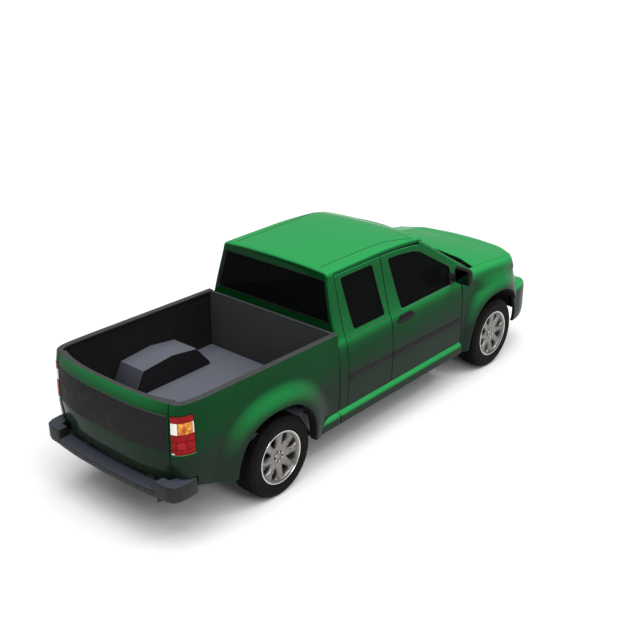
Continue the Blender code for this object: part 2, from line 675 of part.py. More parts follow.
def make_door_glass(name, side, front):
    """The pane that fills a door's window."""
    window = FRONT_WINDOW if front else REAR_WINDOW
    pivot = (0.803 * side, DOOR_FRONT_Y if front else DOOR_REAR_Y, 0.800)
    middle = Vector((sum(p[0] for p in window) / len(window), sum(p[1] for p in window) / len(window)))
    outer = []
    inner = []
    for y, z in window:
        step = (middle - Vector((y, z))).normalized() * 0.0008
        y, z = y + step.x, z + step.y
        outer.append((side * (cab_x(y, z) - 0.012), y, z))
        inner.append((side * (cab_x(y, z) - 0.017), y, z))
    return finish(loft(name, [outer, inner]), GLASS, pivot)


def make_mirror(name, side):
    """Door mirror: sail plate on the door, short arm and housing."""
    sail = []
    for x_in in (0.0004, 0.010):
        sail.append([(side * (cab_x(0, z) + x_in), y, z)
                     for y, z in ((-1.105, 1.126), (-0.985, 1.126), (-1.000, 1.225), (-1.080, 1.205))])
    body = loft(name, sail)
    low = cab_x(0, 1.150) + 0.004
    high = cab_x(0, 1.190) + 0.004
    arm = loft("arm", [[(side * low, -1.060, 1.150), (side * low, -1.010, 1.150),
                        (side * high, -1.010, 1.190), (side * high, -1.060, 1.190)],
                       [(side * 0.850, -1.050, 1.170), (side * 0.850, -1.010, 1.170),
                        (side * 0.850, -1.010, 1.210), (side * 0.850, -1.050, 1.210)]])
    rings = []
    for x, shrink in ((0.802, 0.020), (0.815, 0.004), (0.880, 0.0), (0.960, 0.004), (0.982, 0.022)):
        lean = (x - 0.80) * 0.10
        rings.append([(side * x, -1.055 + lean + shrink, 1.165 + shrink),
                      (side * x, -0.972 + lean * 0.3, 1.153 + shrink),
                      (side * x, -0.964 + lean * 0.3, 1.325 - shrink),
                      (side * x, -1.035 + lean + shrink, 1.318 - shrink)])
    housing = loft("housing", rings)
    fuse(body, arm, housing)
    return finish(body, DARK, (0.803 * side, DOOR_FRONT_Y, 0.800))


def make_dashboard():
    """Dashboard across the cab, with a bore for the steering column."""
    outline = [(-1.2047, 0.760), (-1.2047, 0.885), (-1.158, 0.895), (-1.158, 1.080), (-0.960, 1.092),
               (-0.910, 1.050),
               (-0.900, 0.950), (-0.960, 0.860), (-1.000, 0.760)]
    body = prism("dashboard", outline, -0.688, 0.688)
    for side in (-1, 1):
        lo, hi = sorted((0.660 * side, 0.720 * side))
        tool = box("end", (lo, -1.170, 0.70), (hi, -0.85, 1.20))
        cut(body, tool)
    console = box("console", (-0.080, -1.020, 0.6403), (0.080, -0.700, 0.770))
    fuse(body, console)
    centre = Vector(STEERING_CENTRE)
    along = Vector((0.0, math.cos(STEERING_TILT), math.sin(STEERING_TILT)))
    cut(body, tube("bore", [centre - along * 0.110, centre - along * 0.255], 0.030, 12))
    return finish(body, TRIM)


def make_steering_wheel():
    """Steering wheel: rim, three spokes, hub and column stub."""
    centre = Vector(STEERING_CENTRE)
    along = Vector((0.0, math.cos(STEERING_TILT), math.sin(STEERING_TILT)))
    up = Vector((0.0, -math.sin(STEERING_TILT), math.cos(STEERING_TILT)))
    right = Vector((1.0, 0.0, 0.0))
    points = []
    faces = []
    ring = 20
    sides = 6
    for n in range(ring):
        t = 2 * math.pi * n / ring
        out = right * math.cos(t) + up * math.sin(t)
        for m in range(sides):
            s = 2 * math.pi * m / sides
            points.append(centre + out * (0.178 + 0.013 * math.cos(s)) + along * 0.013 * math.sin(s))
    for n in range(ring):
        for m in range(sides):
            a = n * sides + m
            b = n * sides + (m + 1) % sides
            c = ((n + 1) % ring) * sides + (m + 1) % sides
            d = ((n + 1) % ring) * sides + m
            faces.append((a, b, c, d))
    body = solid("steering_wheel", points, faces)
    hub = tube("hub", [centre - along * 0.050, centre + along * 0.002], 0.055, 14)
    column = tube("column", [centre - along * 0.200, centre - along * 0.045], 0.022, 12)
    parts = [hub, column]
    for turn in (0.0, math.pi, -math.pi / 2):
        out = right * math.cos(turn) + up * math.sin(turn)
        across = out.cross(along)
        rings = []
        for reach, half in ((0.030, 0.024), (0.172, 0.014)):
            middle = centre + out * reach - along * (0.012 if reach < 0.1 else 0.0)
            rings.append([middle + across * half + along * 0.006, middle - across * half + along * 0.006,
                          middle - across * half - along * 0.006, middle + across * half - along * 0.006])
        parts.append(loft("spoke", rings))
    fuse(body, *parts)
    return finish(body, TRIM, STEERING_CENTRE)


def make_front_seats():
    """Two front seats joined by their base and centre cushion."""
    body = box("front_seats", (-0.600, -0.520, 0.5003), (0.600, -0.080, 0.640))
    parts = []
    for x in (-0.345, 0.345):
        parts.append(loft("cushion", [[(x - 0.24, -0.560, 0.640), (x + 0.24, -0.560, 0.640),
                                       (x + 0.24, -0.540, 0.735), (x - 0.24, -0.540, 0.735)],
                                      [(x - 0.25, -0.060, 0.630), (x + 0.25, -0.060, 0.630),
                                       (x + 0.25, -0.060, 0.700), (x - 0.25, -0.060, 0.700)]]))
        parts.append(loft("back", [[(x - 0.24, -0.150, 0.650), (x + 0.24, -0.150, 0.650),
                                    (x + 0.24, -0.020, 0.650), (x - 0.24, -0.020, 0.650)],
                                   [(x - 0.22, -0.040, 1.220), (x + 0.22, -0.040, 1.220),
                                    (x + 0.22, 0.060, 1.220), (x - 0.22, 0.060, 1.220)]]))
        parts.append(loft("head", [[(x - 0.12, 0.000, 1.210), (x + 0.12, 0.000, 1.210),
                                    (x + 0.12, 0.055, 1.210), (x - 0.12, 0.055, 1.210)],
                                   [(x - 0.11, -0.005, 1.390), (x + 0.11, -0.005, 1.390),
                                    (x + 0.11, 0.075, 1.390), (x - 0.11, 0.075, 1.390)]]))
    parts.append(box("middle", (-0.120, -0.480, 0.600), (0.120, -0.060, 0.740)))
    fuse(body, *parts)
    return finish(body, CLOTH)


def make_rear_seat():
    """Narrow rear bench against the back panel."""
    body = box("rear_seat", (-0.600, 0.330, 0.5003), (0.600, 0.640, 0.780))
    back = loft("back", [[(-0.600, 0.560, 0.760), (0.600, 0.560, 0.760),
                          (0.600, 0.6535, 0.760), (-0.600, 0.6535, 0.760)],
                         [(-0.580, 0.590, 1.220), (0.580, 0.590, 1.220),
                          (0.580, 0.6500, 1.220), (-0.580, 0.6500, 1.220)]])
    fuse(body, back)
    return finish(body, CLOTH)


# ---- front end ------------------------------------------------------------
def fender_section(y):
    """Outer points of the front fender at this length, bottom to top."""
    top = table(HOOD_EDGE, y)
    inset = table(NOSE_INSET, y)
    points = []
    for z in (0.340, 0.46, 0.56, 0.66, 0.76, 0.86, 0.93):
        points.append((table(CAB_PROFILE, z) - inset + flare(y, z), z))
    for x, below in ((0.780, 0.118), (0.764, 0.062), (0.738, 0.022), (0.706, 0.0)):
        points.append((x - inset * (0.8 if below else 0.55) + flare(y, top - below) * 0.8, top - below))
    points[-1] = (0.706 - inset * 0.55, top)
    return points


def make_fender(name, side):
    """Front fender with flare, rolled top edge and wheel-well liner."""
    ys = (-2.168, -2.10, -2.02, -1.93, -1.84, -1.747, -1.65, -1.56, -1.47, -1.39, -1.32, -1.26,
          -1.21, -1.1645)
    outer = []
    inner = []
    for y in ys:
        row_out = []
        row_in = []
        section = fender_section(y)
        for k, (x, z) in enumerate(section):
            row_out.append((side * x, y, z))
            sink = 0.024 + 0.6 * flare(y, z) if k < 8 else 0.016
            drop = 0.0 if k < 8 else (0.006, 0.014, 0.018)[k - 8]
            row_in.append((side * (x - sink if k < 10 else x - 0.002), y, z - drop))
        outer.append(row_out)
        inner.append(row_in)
    body = slab(name, outer, inner)
    shell = arch("liner", FRONT_AXLE_Y, 0.340 * side, 0.793 * side, 0.478, 0.482, 0.342)
    cut(shell, arch("room", FRONT_AXLE_Y, 0.30 * side, 0.95 * side, 0.466, 0.470))
    cut(shell, box("front", (min(0.3 * side, 0.8 * side), -2.3, 0.2), (max(0.3 * side, 0.8 * side), -2.1685, 0.9)))
    cut(body, make_pillar(side, 0.0008))
    cut(body, arch("opening", FRONT_AXLE_Y, 0.60 * side, 0.95 * side, ARCH_HALF_LENGTH, ARCH_HEIGHT))
    fuse(body, shell)
    return finish(body, PAINT)


def path_frames(path):
    """Plan points with their outward normals."""
    frames = []
    for k, (x, y) in enumerate(path):
        ax, ay = path[max(k - 1, 0)]
        bx, by = path[min(k + 1, len(path) - 1)]
        along = Vector((bx - ax, by - ay)).normalized()
        frames.append((x, y, along.y, -along.x))
    return frames


def mirror_grid(rows):
    """Reflect rows of points that start on the middle line, to both sides."""
    return [[(-x, y, z) for x, y, z in reversed(row[1:])] + list(row) for row in rows]


def make_front_bumper():
    """Body-coloured front bumper round both corners, with an air opening."""
    frames = [(x, y, -nx, -ny) for x, y, nx, ny in path_frames(BUMPER_PATH)]
    frames[0] = (frames[0][0], frames[0][1], 0.0, -1.0)
    profile = ((0.330, -0.045), (0.370, -0.012), (0.430, 0.0), (0.620, 0.0), (0.668, -0.012),
               (0.690, -0.045), (0.700, -0.120), (0.784, -0.150))
    outer = []
    inner = []
    for z, off in profile:
        row_out = []
        row_in = []
        for k, (x, y, nx, ny) in enumerate(frames):
            nx, ny = abs(nx), -abs(ny)
            fade = min(1.0, 1.15 - 0.85 * nx)
            shift = off * max(fade, 0.12)
            row_out.append((x + nx * shift, y + ny * shift, z))
            row_in.append((x + nx * (shift - 0.035), y + ny * (shift - 0.035), z))
        outer.append(row_out)
        inner.append(row_in)
    body = slab("front_bumper", mirror_grid(outer), mirror_grid(inner))
    cut(body, box("grille_room", (-0.458, -2.8, 0.6955), (0.458, -2.2, 0.90)))
    cut(body, box("air", (-0.400, -2.8, 0.400), (0.400, -2.4, 0.520)))
    bars = [box("air_bar", (-0.402, -2.585, 0.448), (0.402, -2.572, 0.472))]
    for side in (-1, 1):
        lo, hi = sorted((0.250 * side, 0.320 * side))
        bars.append(box("carrier", (lo, -2.600, 0.540), (hi, -2.4405, 0.600)))
        bars.append(box("bar_end", (min(0.38 * side, 0.43 * side), -2.592, 0.440),
                        (max(0.38 * side, 0.43 * side), -2.565, 0.480)))
    fuse(body, *bars)
    return finish(body, PAINT)


def make_grille():
    """Grille frame between the head lamps with bars across its two openings."""
    outer = []
    inner = []
    for z, y in ((0.696, -2.490), (0.80, -2.478), (0.95, -2.440), (1.040, -2.404)):
        row_out = [(x, y + 0.045 * (x / 0.458) ** 2, z) for x in (0.0, 0.16, 0.32, 0.457)]
        row_in = [(x, y + 0.045 * (x / 0.458) ** 2 + 0.040, z) for x in (0.0, 0.16, 0.32, 0.457)]
        outer.append(row_out)
        inner.append(row_in)
    body = slab("grille", mirror_grid(outer), mirror_grid(inner))
    for low, high in ((0.725, 0.850), (0.905, 1.012)):
        cut(body, box("opening", (-0.415, -2.6, low), (0.415, -2.2, high)))
    bars = []
    for z in (0.755, 0.787, 0.819, 0.931, 0.958, 0.985):
        rows = [[(x, table(((0.696, -2.490), (0.80, -2.478), (0.95, -2.440), (1.04, -2.404)), z)
                  + 0.045 * (x / 0.458) ** 2 + 0.014, h) for x in (0.0, 0.2, 0.418)]
                for h in (z - 0.006, z + 0.006)]
        deep = [[(x, y + 0.014, h) for x, y, h in row] for row in rows]
        bars.append(slab("bar", mirror_grid(rows), mirror_grid(deep)))
    for x in (-0.38, 0.38):
        bars.append(box("stay", (x - 0.020, -2.460, 0.700), (x + 0.020, -2.2705, 0.720)))
    support = box("support", (-0.400, -2.285, 0.5853), (0.400, -2.2705, 0.720))
    for x in (-0.285, 0.285):
        bars.append(box("leg", (x - 0.030, -2.300, 0.5853), (x + 0.030, -2.262, 0.660)))
    fuse(body, *bars, support)
    cut(body, box("radiator_room", (-0.340, -2.31, 0.590), (0.340, -2.24, 1.00)))
    return finish(body, DARK)


def make_headlight(name, side):
    """Head lamp wrapped round the front corner."""
    frames = [(x, y, abs(nx), -abs(ny)) for x, y, nx, ny in path_frames(LAMP_PATH)]
    frames[0] = (*LAMP_PATH[0], 0.0, -1.0)
    frames[-1] = (*LAMP_PATH[-1], 1.0, 0.0)
    outer = []
    inner = []
    for z, off in ((0.7875, -0.004), (0.83, 0.0), (0.93, -0.004), (1.00, -0.014), (1.032, -0.024)):
        row_out = []
        row_in = []
        for k, (x, y, nx, ny) in enumerate(frames):
            row_out.append((side * (x + nx * off), y + ny * off, z))
            row_in.append((side * (x + nx * (off - 0.055)), y + ny * (off - 0.055), z))
        outer.append(row_out)
        inner.append(row_in)
    return finish(slab(name, outer, inner), CLEAR_LENS)


def hood_grid(offset):
    """Rows of points over the hood's outer face, sunk by an offset."""
    rows = []
    for v in (0.0, 0.12, 0.30, 0.50, 0.70, 0.86, 0.95, 1.0):
        row = []
        for u in (0.0, 0.25, 0.5, 0.72, 0.88, 1.0):
            foot = windshield_point(min(u * 1.03, 1.0), 0.0)
            rear = foot.y - 0.056
            front = -2.345 + 0.050 * u ** 2 + 0.085 * u ** 6
            y = rear + (front - rear) * v
            edge = table(HOOD_EDGE, y)
            inset = table(NOSE_INSET, y)
            x = (0.698 - inset * 0.55) * u
            crown = 0.046 * (1 - u ** 2.2) + 0.008 * math.exp(-((u - 0.72) / 0.12) ** 2)
            lip = -0.012 * max(0.0, (v - 0.86) / 0.14) ** 2 if v > 0.86 else 0.0
            row.append((x, y, edge + crown * (1 - 0.35 * v) + lip - offset))
        rows.append(row)
    return rows


def make_hood():
    """Hood panel, hinged at its rear edge."""
    body = slab("hood", mirror_grid(hood_grid(0.0)), mirror_grid(hood_grid(0.022)))
    return finish(body, PAINT, HOOD_HINGE)


# ---- bed ------------------------------------------------------------------
def bed_top(y):
    """Height of the bed rail."""
    return 1.200 + (y - BED_FRONT_Y) * 0.0155


def bed_point(frame, z, offset):
    """Point on the bed side, moved outwards by an offset."""
    x, y, nx, ny = frame
    rear = ny * ny
    inset = (table(BED_PROFILE, z) - BODY_HALF_WIDTH) * (1 - rear) + table(REAR_INSET, z) * rear
    out = inset + flare(y, z) * (1 - rear) + offset
    return (x + nx * out, y + ny * out, z)


def bed_patch(name, side, frames, zs, high, low):
    """A slab that follows the bed side between two offsets."""
    outer = [[bed_point(f, z, high) for f in frames] for z in zs]
    inner = [[bed_point(f, z, low) for f in frames] for z in zs]
    outer = [[(side * x, y, z) for x, y, z in row] for row in outer]
    inner = [[(side * x, y, z) for x, y, z in row] for row in inner]
    return slab(name, outer, inner)


def corner_frames(trim):
    """Frames of the rear corner from the side round to the tailgate post."""
    frames = path_frames(BED_PATH)
    corner = [f for f in frames if f[1] > 2.30]
    x, y, nx, ny = corner[0]
    corner[0] = (x, y + trim, nx, ny)
    x, y, nx, ny = corner[-1]
    corner[-1] = (x + 0.012 + trim, y + 0.001, nx, ny)
    return corner


def fuel_frames(trim):
    """Frames across the fuel door."""
    return [(BODY_HALF_WIDTH, y, 1.0, 0.0) for y in (0.790 + trim, 0.83, 0.88, 0.930 - trim)]


def make_bedside(name, side):
    """Bed side with flare, rear corner post and sill ledge."""
    frames = path_frames(BED_PATH)
    frames[-1] = (frames[-1][0], frames[-1][1], 0.0, 1.0)
    rows = (0.345, 0.46, 0.56, 0.66, 0.76, 0.86, 0.95, 1.04, 1.12, 1.175)
    outer = []
    inner = []
    for z in rows + ("top",):
        row_out = []
        row_in = []
        for frame in frames:
            x, y, nx, ny = frame
            height = bed_top(y) if z == "top" else z
            px, py, pz = bed_point(frame, height, -0.004 if z == "top" else 0.0)
            row_out.append((side * px, py, pz))
            deep = BODY_HALF_WIDTH - BED_INNER_X - 0.0003
            rear = ny * ny
            extra = table(REAR_INSET, height) * rear
            row_in.append((side * (x - nx * (deep - extra)), y - ny * (deep - extra), height))
        outer.append(row_out)
        inner.append(row_in)
    body = slab(name, outer, inner)
    lo, hi = sorted((0.55 * side, 0.95 * side))
    ledge_z = (0.346, 0.360, 0.428, 0.452, 0.470)
    ledge_x = {0.346: 0.780, 0.360: 0.808, 0.428: 0.812, 0.452: 0.797, 0.470: 0.777}
    ledge = side_slab("ledge", side, (BED_FRONT_Y, 0.85, 1.10), ledge_z,
                      lambda y, z: ledge_x[z], lambda y, z: ledge_x[z] - 0.755)
    fuse(body, ledge)
    cut(body, arch("opening", REAR_AXLE_Y, 0.60 * side, 0.99 * side, ARCH_HALF_LENGTH, ARCH_HEIGHT,
                   shift=0.05))
    under = [(1.90, 0.20), (1.90, 0.400), (2.02, 0.412), (2.334, 0.517), (2.337, 0.6075),
             (2.70, 0.6075), (2.70, 0.20)]
    cut(body, prism("under", under, lo, hi))
    zs = (0.8147, 0.90, 1.00, 1.06, 1.1353)
    cut(body, bed_patch("lamp_room", side, corner_frames(0.0), zs, 0.03, -0.0363))
    if side > 0:
        cut(body, bed_patch("fuel_room", side, fuel_frames(0.0), (0.975, 1.04, 1.115), 0.03, -0.030))
    return finish(body, PAINT)


def make_tail_lamp(name, side):
    """Tail lamp block set into the rear corner."""
    zs = (0.815, 0.90, 1.00, 1.06, 1.135)
    body = bed_patch(name, side, corner_frames(0.0003), zs, 0.003, -0.036)
    return finish(body, RED_LENS)


def make_fuel_door():
    """Fuel door on the left bed side."""
    body = bed_patch("fuel_door", 1, fuel_frames(0.0055), (0.9805, 1.04, 1.1095), 0.0, -0.008)
    return finish(body, PAINT, (bed_point((BODY_HALF_WIDTH, 0.7955, 1.0, 0.0), 0.98, 0.0)[0] + 0.002,
                                0.7955, 1.045))


def make_bed_floor():
    """Bed floor with wheelhouses, front wall and cross sills."""
    wide = BED_INNER_X - 0.0005
    plan = [(wide, BED_FRONT_Y), (wide, 1.980), (0.739, 2.120), (0.736, 2.240), (0.726, 2.330),
            (0.708, BED_FLOOR_END_Y - 0.030), (0.480, BED_FLOOR_END_Y)]
    plan += [(-x, y) for x, y in reversed(plan)]
    body = prism("bed_floor", plan, 0.625, BED_FLOOR_Z, "z")
    wall = box("wall", (-wide, BED_FRONT_Y, 0.560), (wide, BED_FRONT_Y + 0.028, 1.196))
    fuse(body, wall)
    outline = [(1.020, 0.560), (1.035, 0.680), (1.190, 0.862), (1.470, 0.902), (1.800, 0.872),
               (1.890, 0.711), (1.920, 0.560)]
    hollow = [(1.038, 0.30), (1.038, 0.560), (1.052, 0.672), (1.200, 0.846), (1.472, 0.884),
              (1.790, 0.855), (1.874, 0.704), (1.902, 0.560), (1.902, 0.30)]
    for side in (-1, 1):
        lo, hi = sorted((0.450 * side, wide * side))
        fuse(body, prism("house", outline, lo, hi))
    for side in (-1, 1):
        lo, hi = sorted((0.466 * side, 0.80 * side))
        cut(body, prism("hollow", hollow, lo, hi))
    for y, low, reach in ((0.800, 0.4703, 0.430), (1.100, 0.6003, 0.440), (1.900, 0.6003, 0.440),
                          (2.330, 0.5603, 0.640)):
        fuse(body, box("sill", (-reach, y - 0.030, low), (reach, y + 0.030, 0.640)))
    return finish(body, LINER)


def tailgate_y(x, z):
    """Outer face of the tailgate."""
    middle = table(((0.54, 2.518), (0.60, 2.545), (0.70, 2.568), (0.83, 2.578), (1.0, 2.570),
                    (1.123, 2.552), (1.19, 2.535), (1.225, 2.522)), z)
    edge = table(((0.54, 2.447), (0.60, 2.463), (0.70, 2.480), (0.83, 2.493), (1.123, 2.485),
                  (1.225, 2.468)), z)
    return middle + (edge - middle) * (abs(x) / TAILGATE_HALF_WIDTH) ** 3


def make_tailgate():
    """Tailgate bowed across, hinged along its bottom."""
    xs = (-0.645, -0.60, -0.50, -0.30, 0.0, 0.30, 0.50, 0.60, 0.645)
    zs = (TAILGATE_BOTTOM_Z, 0.60, 0.70, 0.83, 1.0, 1.12, 1.19, TAILGATE_TOP_Z)
    outer = [[(x, tailgate_y(x, z), z) for x in xs] for z in zs]
    inner = [[(x, tailgate_y(x, 0.83) - 0.090, z) for x in xs] for z in zs]
    for k in (0, 1):
        inner[k] = [(x, tailgate_y(x, zs[k]) - (0.025, 0.045)[k], zs[k]) for x in xs]
    return finish(slab("tailgate", outer, inner), PAINT, TAILGATE_HINGE)


def make_rear_bumper():
    """Step bumper: low middle, raised end pads and brackets to the frame."""
    rows = ((-0.588, 2.596), (-0.35, 2.618), (0.0, 2.628), (0.35, 2.618), (0.588, 2.596))
    outer = [[(x, y, z) for x, y in rows] for z in (0.440, 0.450, 0.520)]
    outer[0] = [(x, y - 0.020, z) for x, y, z in outer[0]]
    inner = [[(x, y - 0.118, z) for x, y in rows] for z in (0.440, 0.450, 0.520)]
    body = slab("rear_bumper", outer, inner)
    parts = []
    for side in (-1, 1):
        plan = [(0.580, 2.510), (0.650, 2.508), (0.700, 2.350), (0.782, 2.350), (0.790, 2.430),
                (0.782, 2.520), (0.755, 2.575), (0.700, 2.597), (0.600, 2.602), (0.580, 2.596)]
        plan = [(x * side, y) for x, y in plan]
        low = [(x * 0.985, y - 0.010, 0.462) for x, y in plan]
        parts.append(loft("pad", [low, [(x, y, 0.480) for x, y in plan],
                                  [(x, y, 0.592) for x, y in plan],
                                  [(x * 0.992, y - 0.004, 0.600) for x, y in plan]]))
        lo, hi = sorted((0.365 * side, 0.425 * side))
        parts.append(box("arm", (lo, 2.4055, 0.450), (hi, 2.520, 0.510)))
        parts.append(box("tie", (min(0.58 * side, 0.70 * side), 2.400, 0.466),
                         (max(0.58 * side, 0.70 * side), 2.520, 0.500)))
    parts.append(box("tab", (-0.590, 2.500, 0.405), (-0.560, 2.575, 0.470)))
    fuse(body, *parts)
    return finish(body, DARK)


def main():
    """Build every piece of the truck."""
    for item in list(bpy.data.objects):
        bpy.data.objects.remove(item, do_unlink=True)
    make_frame()
    make_engine()
    make_rear_axle()
    make_exhaust()
    make_fuel_tank()
    make_spare()
    make_cab()
    make_windshield()
    make_rear_window()
    make_dashboard()
    make_steering_wheel()
    make_front_seats()
    make_rear_seat()
    make_front_bumper()
    make_grille()
    make_hood()
    make_bed_floor()
    make_tailgate()
    make_rear_bumper()
    make_fuel_door()
    for word, side in (("left", 1), ("right", -1)):
        make_fender("fender_" + word, side)
        make_headlight("headlight_" + word, side)
        make_bedside("bedside_" + word, side)
        make_tail_lamp("tail_lamp_" + word, side)
        make_door("front_door_" + word, side, True)
        make_door("rear_door_" + word, side, False)
        make_door_glass("front_glass_" + word, side, True)
        make_door_glass("rear_glass_" + word, side, False)
        make_mirror("mirror_" + word, side)
        make_knuckle("knuckle_" + word, side)
        for end, axle in (("front", FRONT_AXLE_Y), ("rear", REAR_AXLE_Y)):
            make_tyre("tyre_" + end + "_" + word, side, axle)
            make_rim("rim_" + end + "_" + word, side, axle)


main()
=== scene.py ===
"""Finished looks of an extended-cab pickup truck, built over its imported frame."""
from __future__ import annotations

import logging
import math
from bisect import bisect_right
from dataclasses import dataclass, field
from enum import Enum
from typing import Callable, Iterable, Sequence

import bmesh
import bpy
import numpy as np
from mathutils import Euler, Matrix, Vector, geometry


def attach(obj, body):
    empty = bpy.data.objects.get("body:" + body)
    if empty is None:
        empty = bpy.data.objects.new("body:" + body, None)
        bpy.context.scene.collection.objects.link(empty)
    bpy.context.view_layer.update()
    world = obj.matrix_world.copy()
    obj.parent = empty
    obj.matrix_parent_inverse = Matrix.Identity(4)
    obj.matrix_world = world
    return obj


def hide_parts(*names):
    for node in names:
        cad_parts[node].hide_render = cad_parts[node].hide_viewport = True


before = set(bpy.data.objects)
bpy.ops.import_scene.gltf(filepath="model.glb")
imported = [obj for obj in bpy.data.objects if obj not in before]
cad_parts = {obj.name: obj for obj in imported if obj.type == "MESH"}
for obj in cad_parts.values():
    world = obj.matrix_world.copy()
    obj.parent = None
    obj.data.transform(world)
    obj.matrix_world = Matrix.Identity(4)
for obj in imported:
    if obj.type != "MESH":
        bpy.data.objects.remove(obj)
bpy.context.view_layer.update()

LOG = logging.getLogger("pickup")
Point = tuple[float, float, float]
Flat = tuple[float, float]
Colour = tuple[float, float, float]


class Side(Enum):
    """Side of the truck, by the sign of its X."""

    LEFT = 1
    RIGHT = -1

    @property
    def word(self) -> str:
        """Name of the side as the nodes spell it."""
        return self.name.lower()

    @property
    def turn(self) -> Point:
        """Turn that points a small part of the left side outwards on this side."""
        return 0.0, 0.0, 0.0 if self is Side.LEFT else math.pi


# ---- finishes ---------------------------------------------------------------
class Pattern(Enum):
    """Fine relief of a finish."""

    GRAIN = "grain"
    PEEL = "peel"
    WEAVE = "weave"
    BRUSHED = "brushed"
    FLUTES = "flutes"


class Graph:
    """Small builder of the nodes of one material."""

    def __init__(self, name: str) -> None:
        """Start a material with its shader and object coordinates.

        Args:
            name: name of the piece.
        """
        self.material = bpy.data.materials.new(name)
        self.material.use_nodes = True
        self.tree = self.material.node_tree
        self.shader = self.tree.nodes["Principled BSDF"]
        self.place = self.node("ShaderNodeTexCoord")

    def node(self, kind: str, **inputs: object) -> bpy.types.Node:
        """Add a node and fill or link its inputs.

        Args:
            kind: node type.
            inputs: values or output sockets by input name; "_" stands for a space and a
                name that starts with "set_" is a property of the node.

        Returns:
            The new node.
        """
        made = self.tree.nodes.new(kind)
        for name, value in inputs.items():
            if name.startswith("set_"):
                setattr(made, name[4:], value)
        for name, value in inputs.items():
            if not name.startswith("set_"):
                key = int(name[1:]) if name[1:].isdigit() else name.replace("_", " ")
                self.fill(made.inputs[key], value)
        return made

    def fill(self, socket: bpy.types.NodeSocket, value: object) -> None:
        """Link an output to the socket, or set its plain value.

        Args:
            socket: input socket of a node.
            value: output socket or plain value.
        """
        if isinstance(value, bpy.types.NodeSocket):
            self.tree.links.new(value, socket)
        elif isinstance(value, tuple) and len(value) == 3 and socket.type == "RGBA":
            socket.default_value = (*value, 1.0)
        else:
            socket.default_value = value

    def ramp(self, source: object, low: float, high: float, start: float = 0.0,
             end: float = 1.0) -> bpy.types.NodeSocket:
        """Map a value smoothly from low..high to start..end."""
        return self.node("ShaderNodeMapRange", set_interpolation_type="SMOOTHSTEP", Value=source,
                         From_Min=low, From_Max=high, To_Min=start, To_Max=end).outputs[0]

    def mix(self, share: object, first: object, second: object) -> bpy.types.NodeSocket:
        """Blend two colours by a share."""
        return self.node("ShaderNodeMix", set_data_type="RGBA", _0=share, _6=first,
                         _7=second).outputs[2]

    def noise(self, scale: float, detail: float = 2.0) -> bpy.types.NodeSocket:
        """Noise over object coordinates."""
        return self.node("ShaderNodeTexNoise", Vector=self.place.outputs["Object"], Scale=scale,
                         Detail=detail).outputs["Fac"]


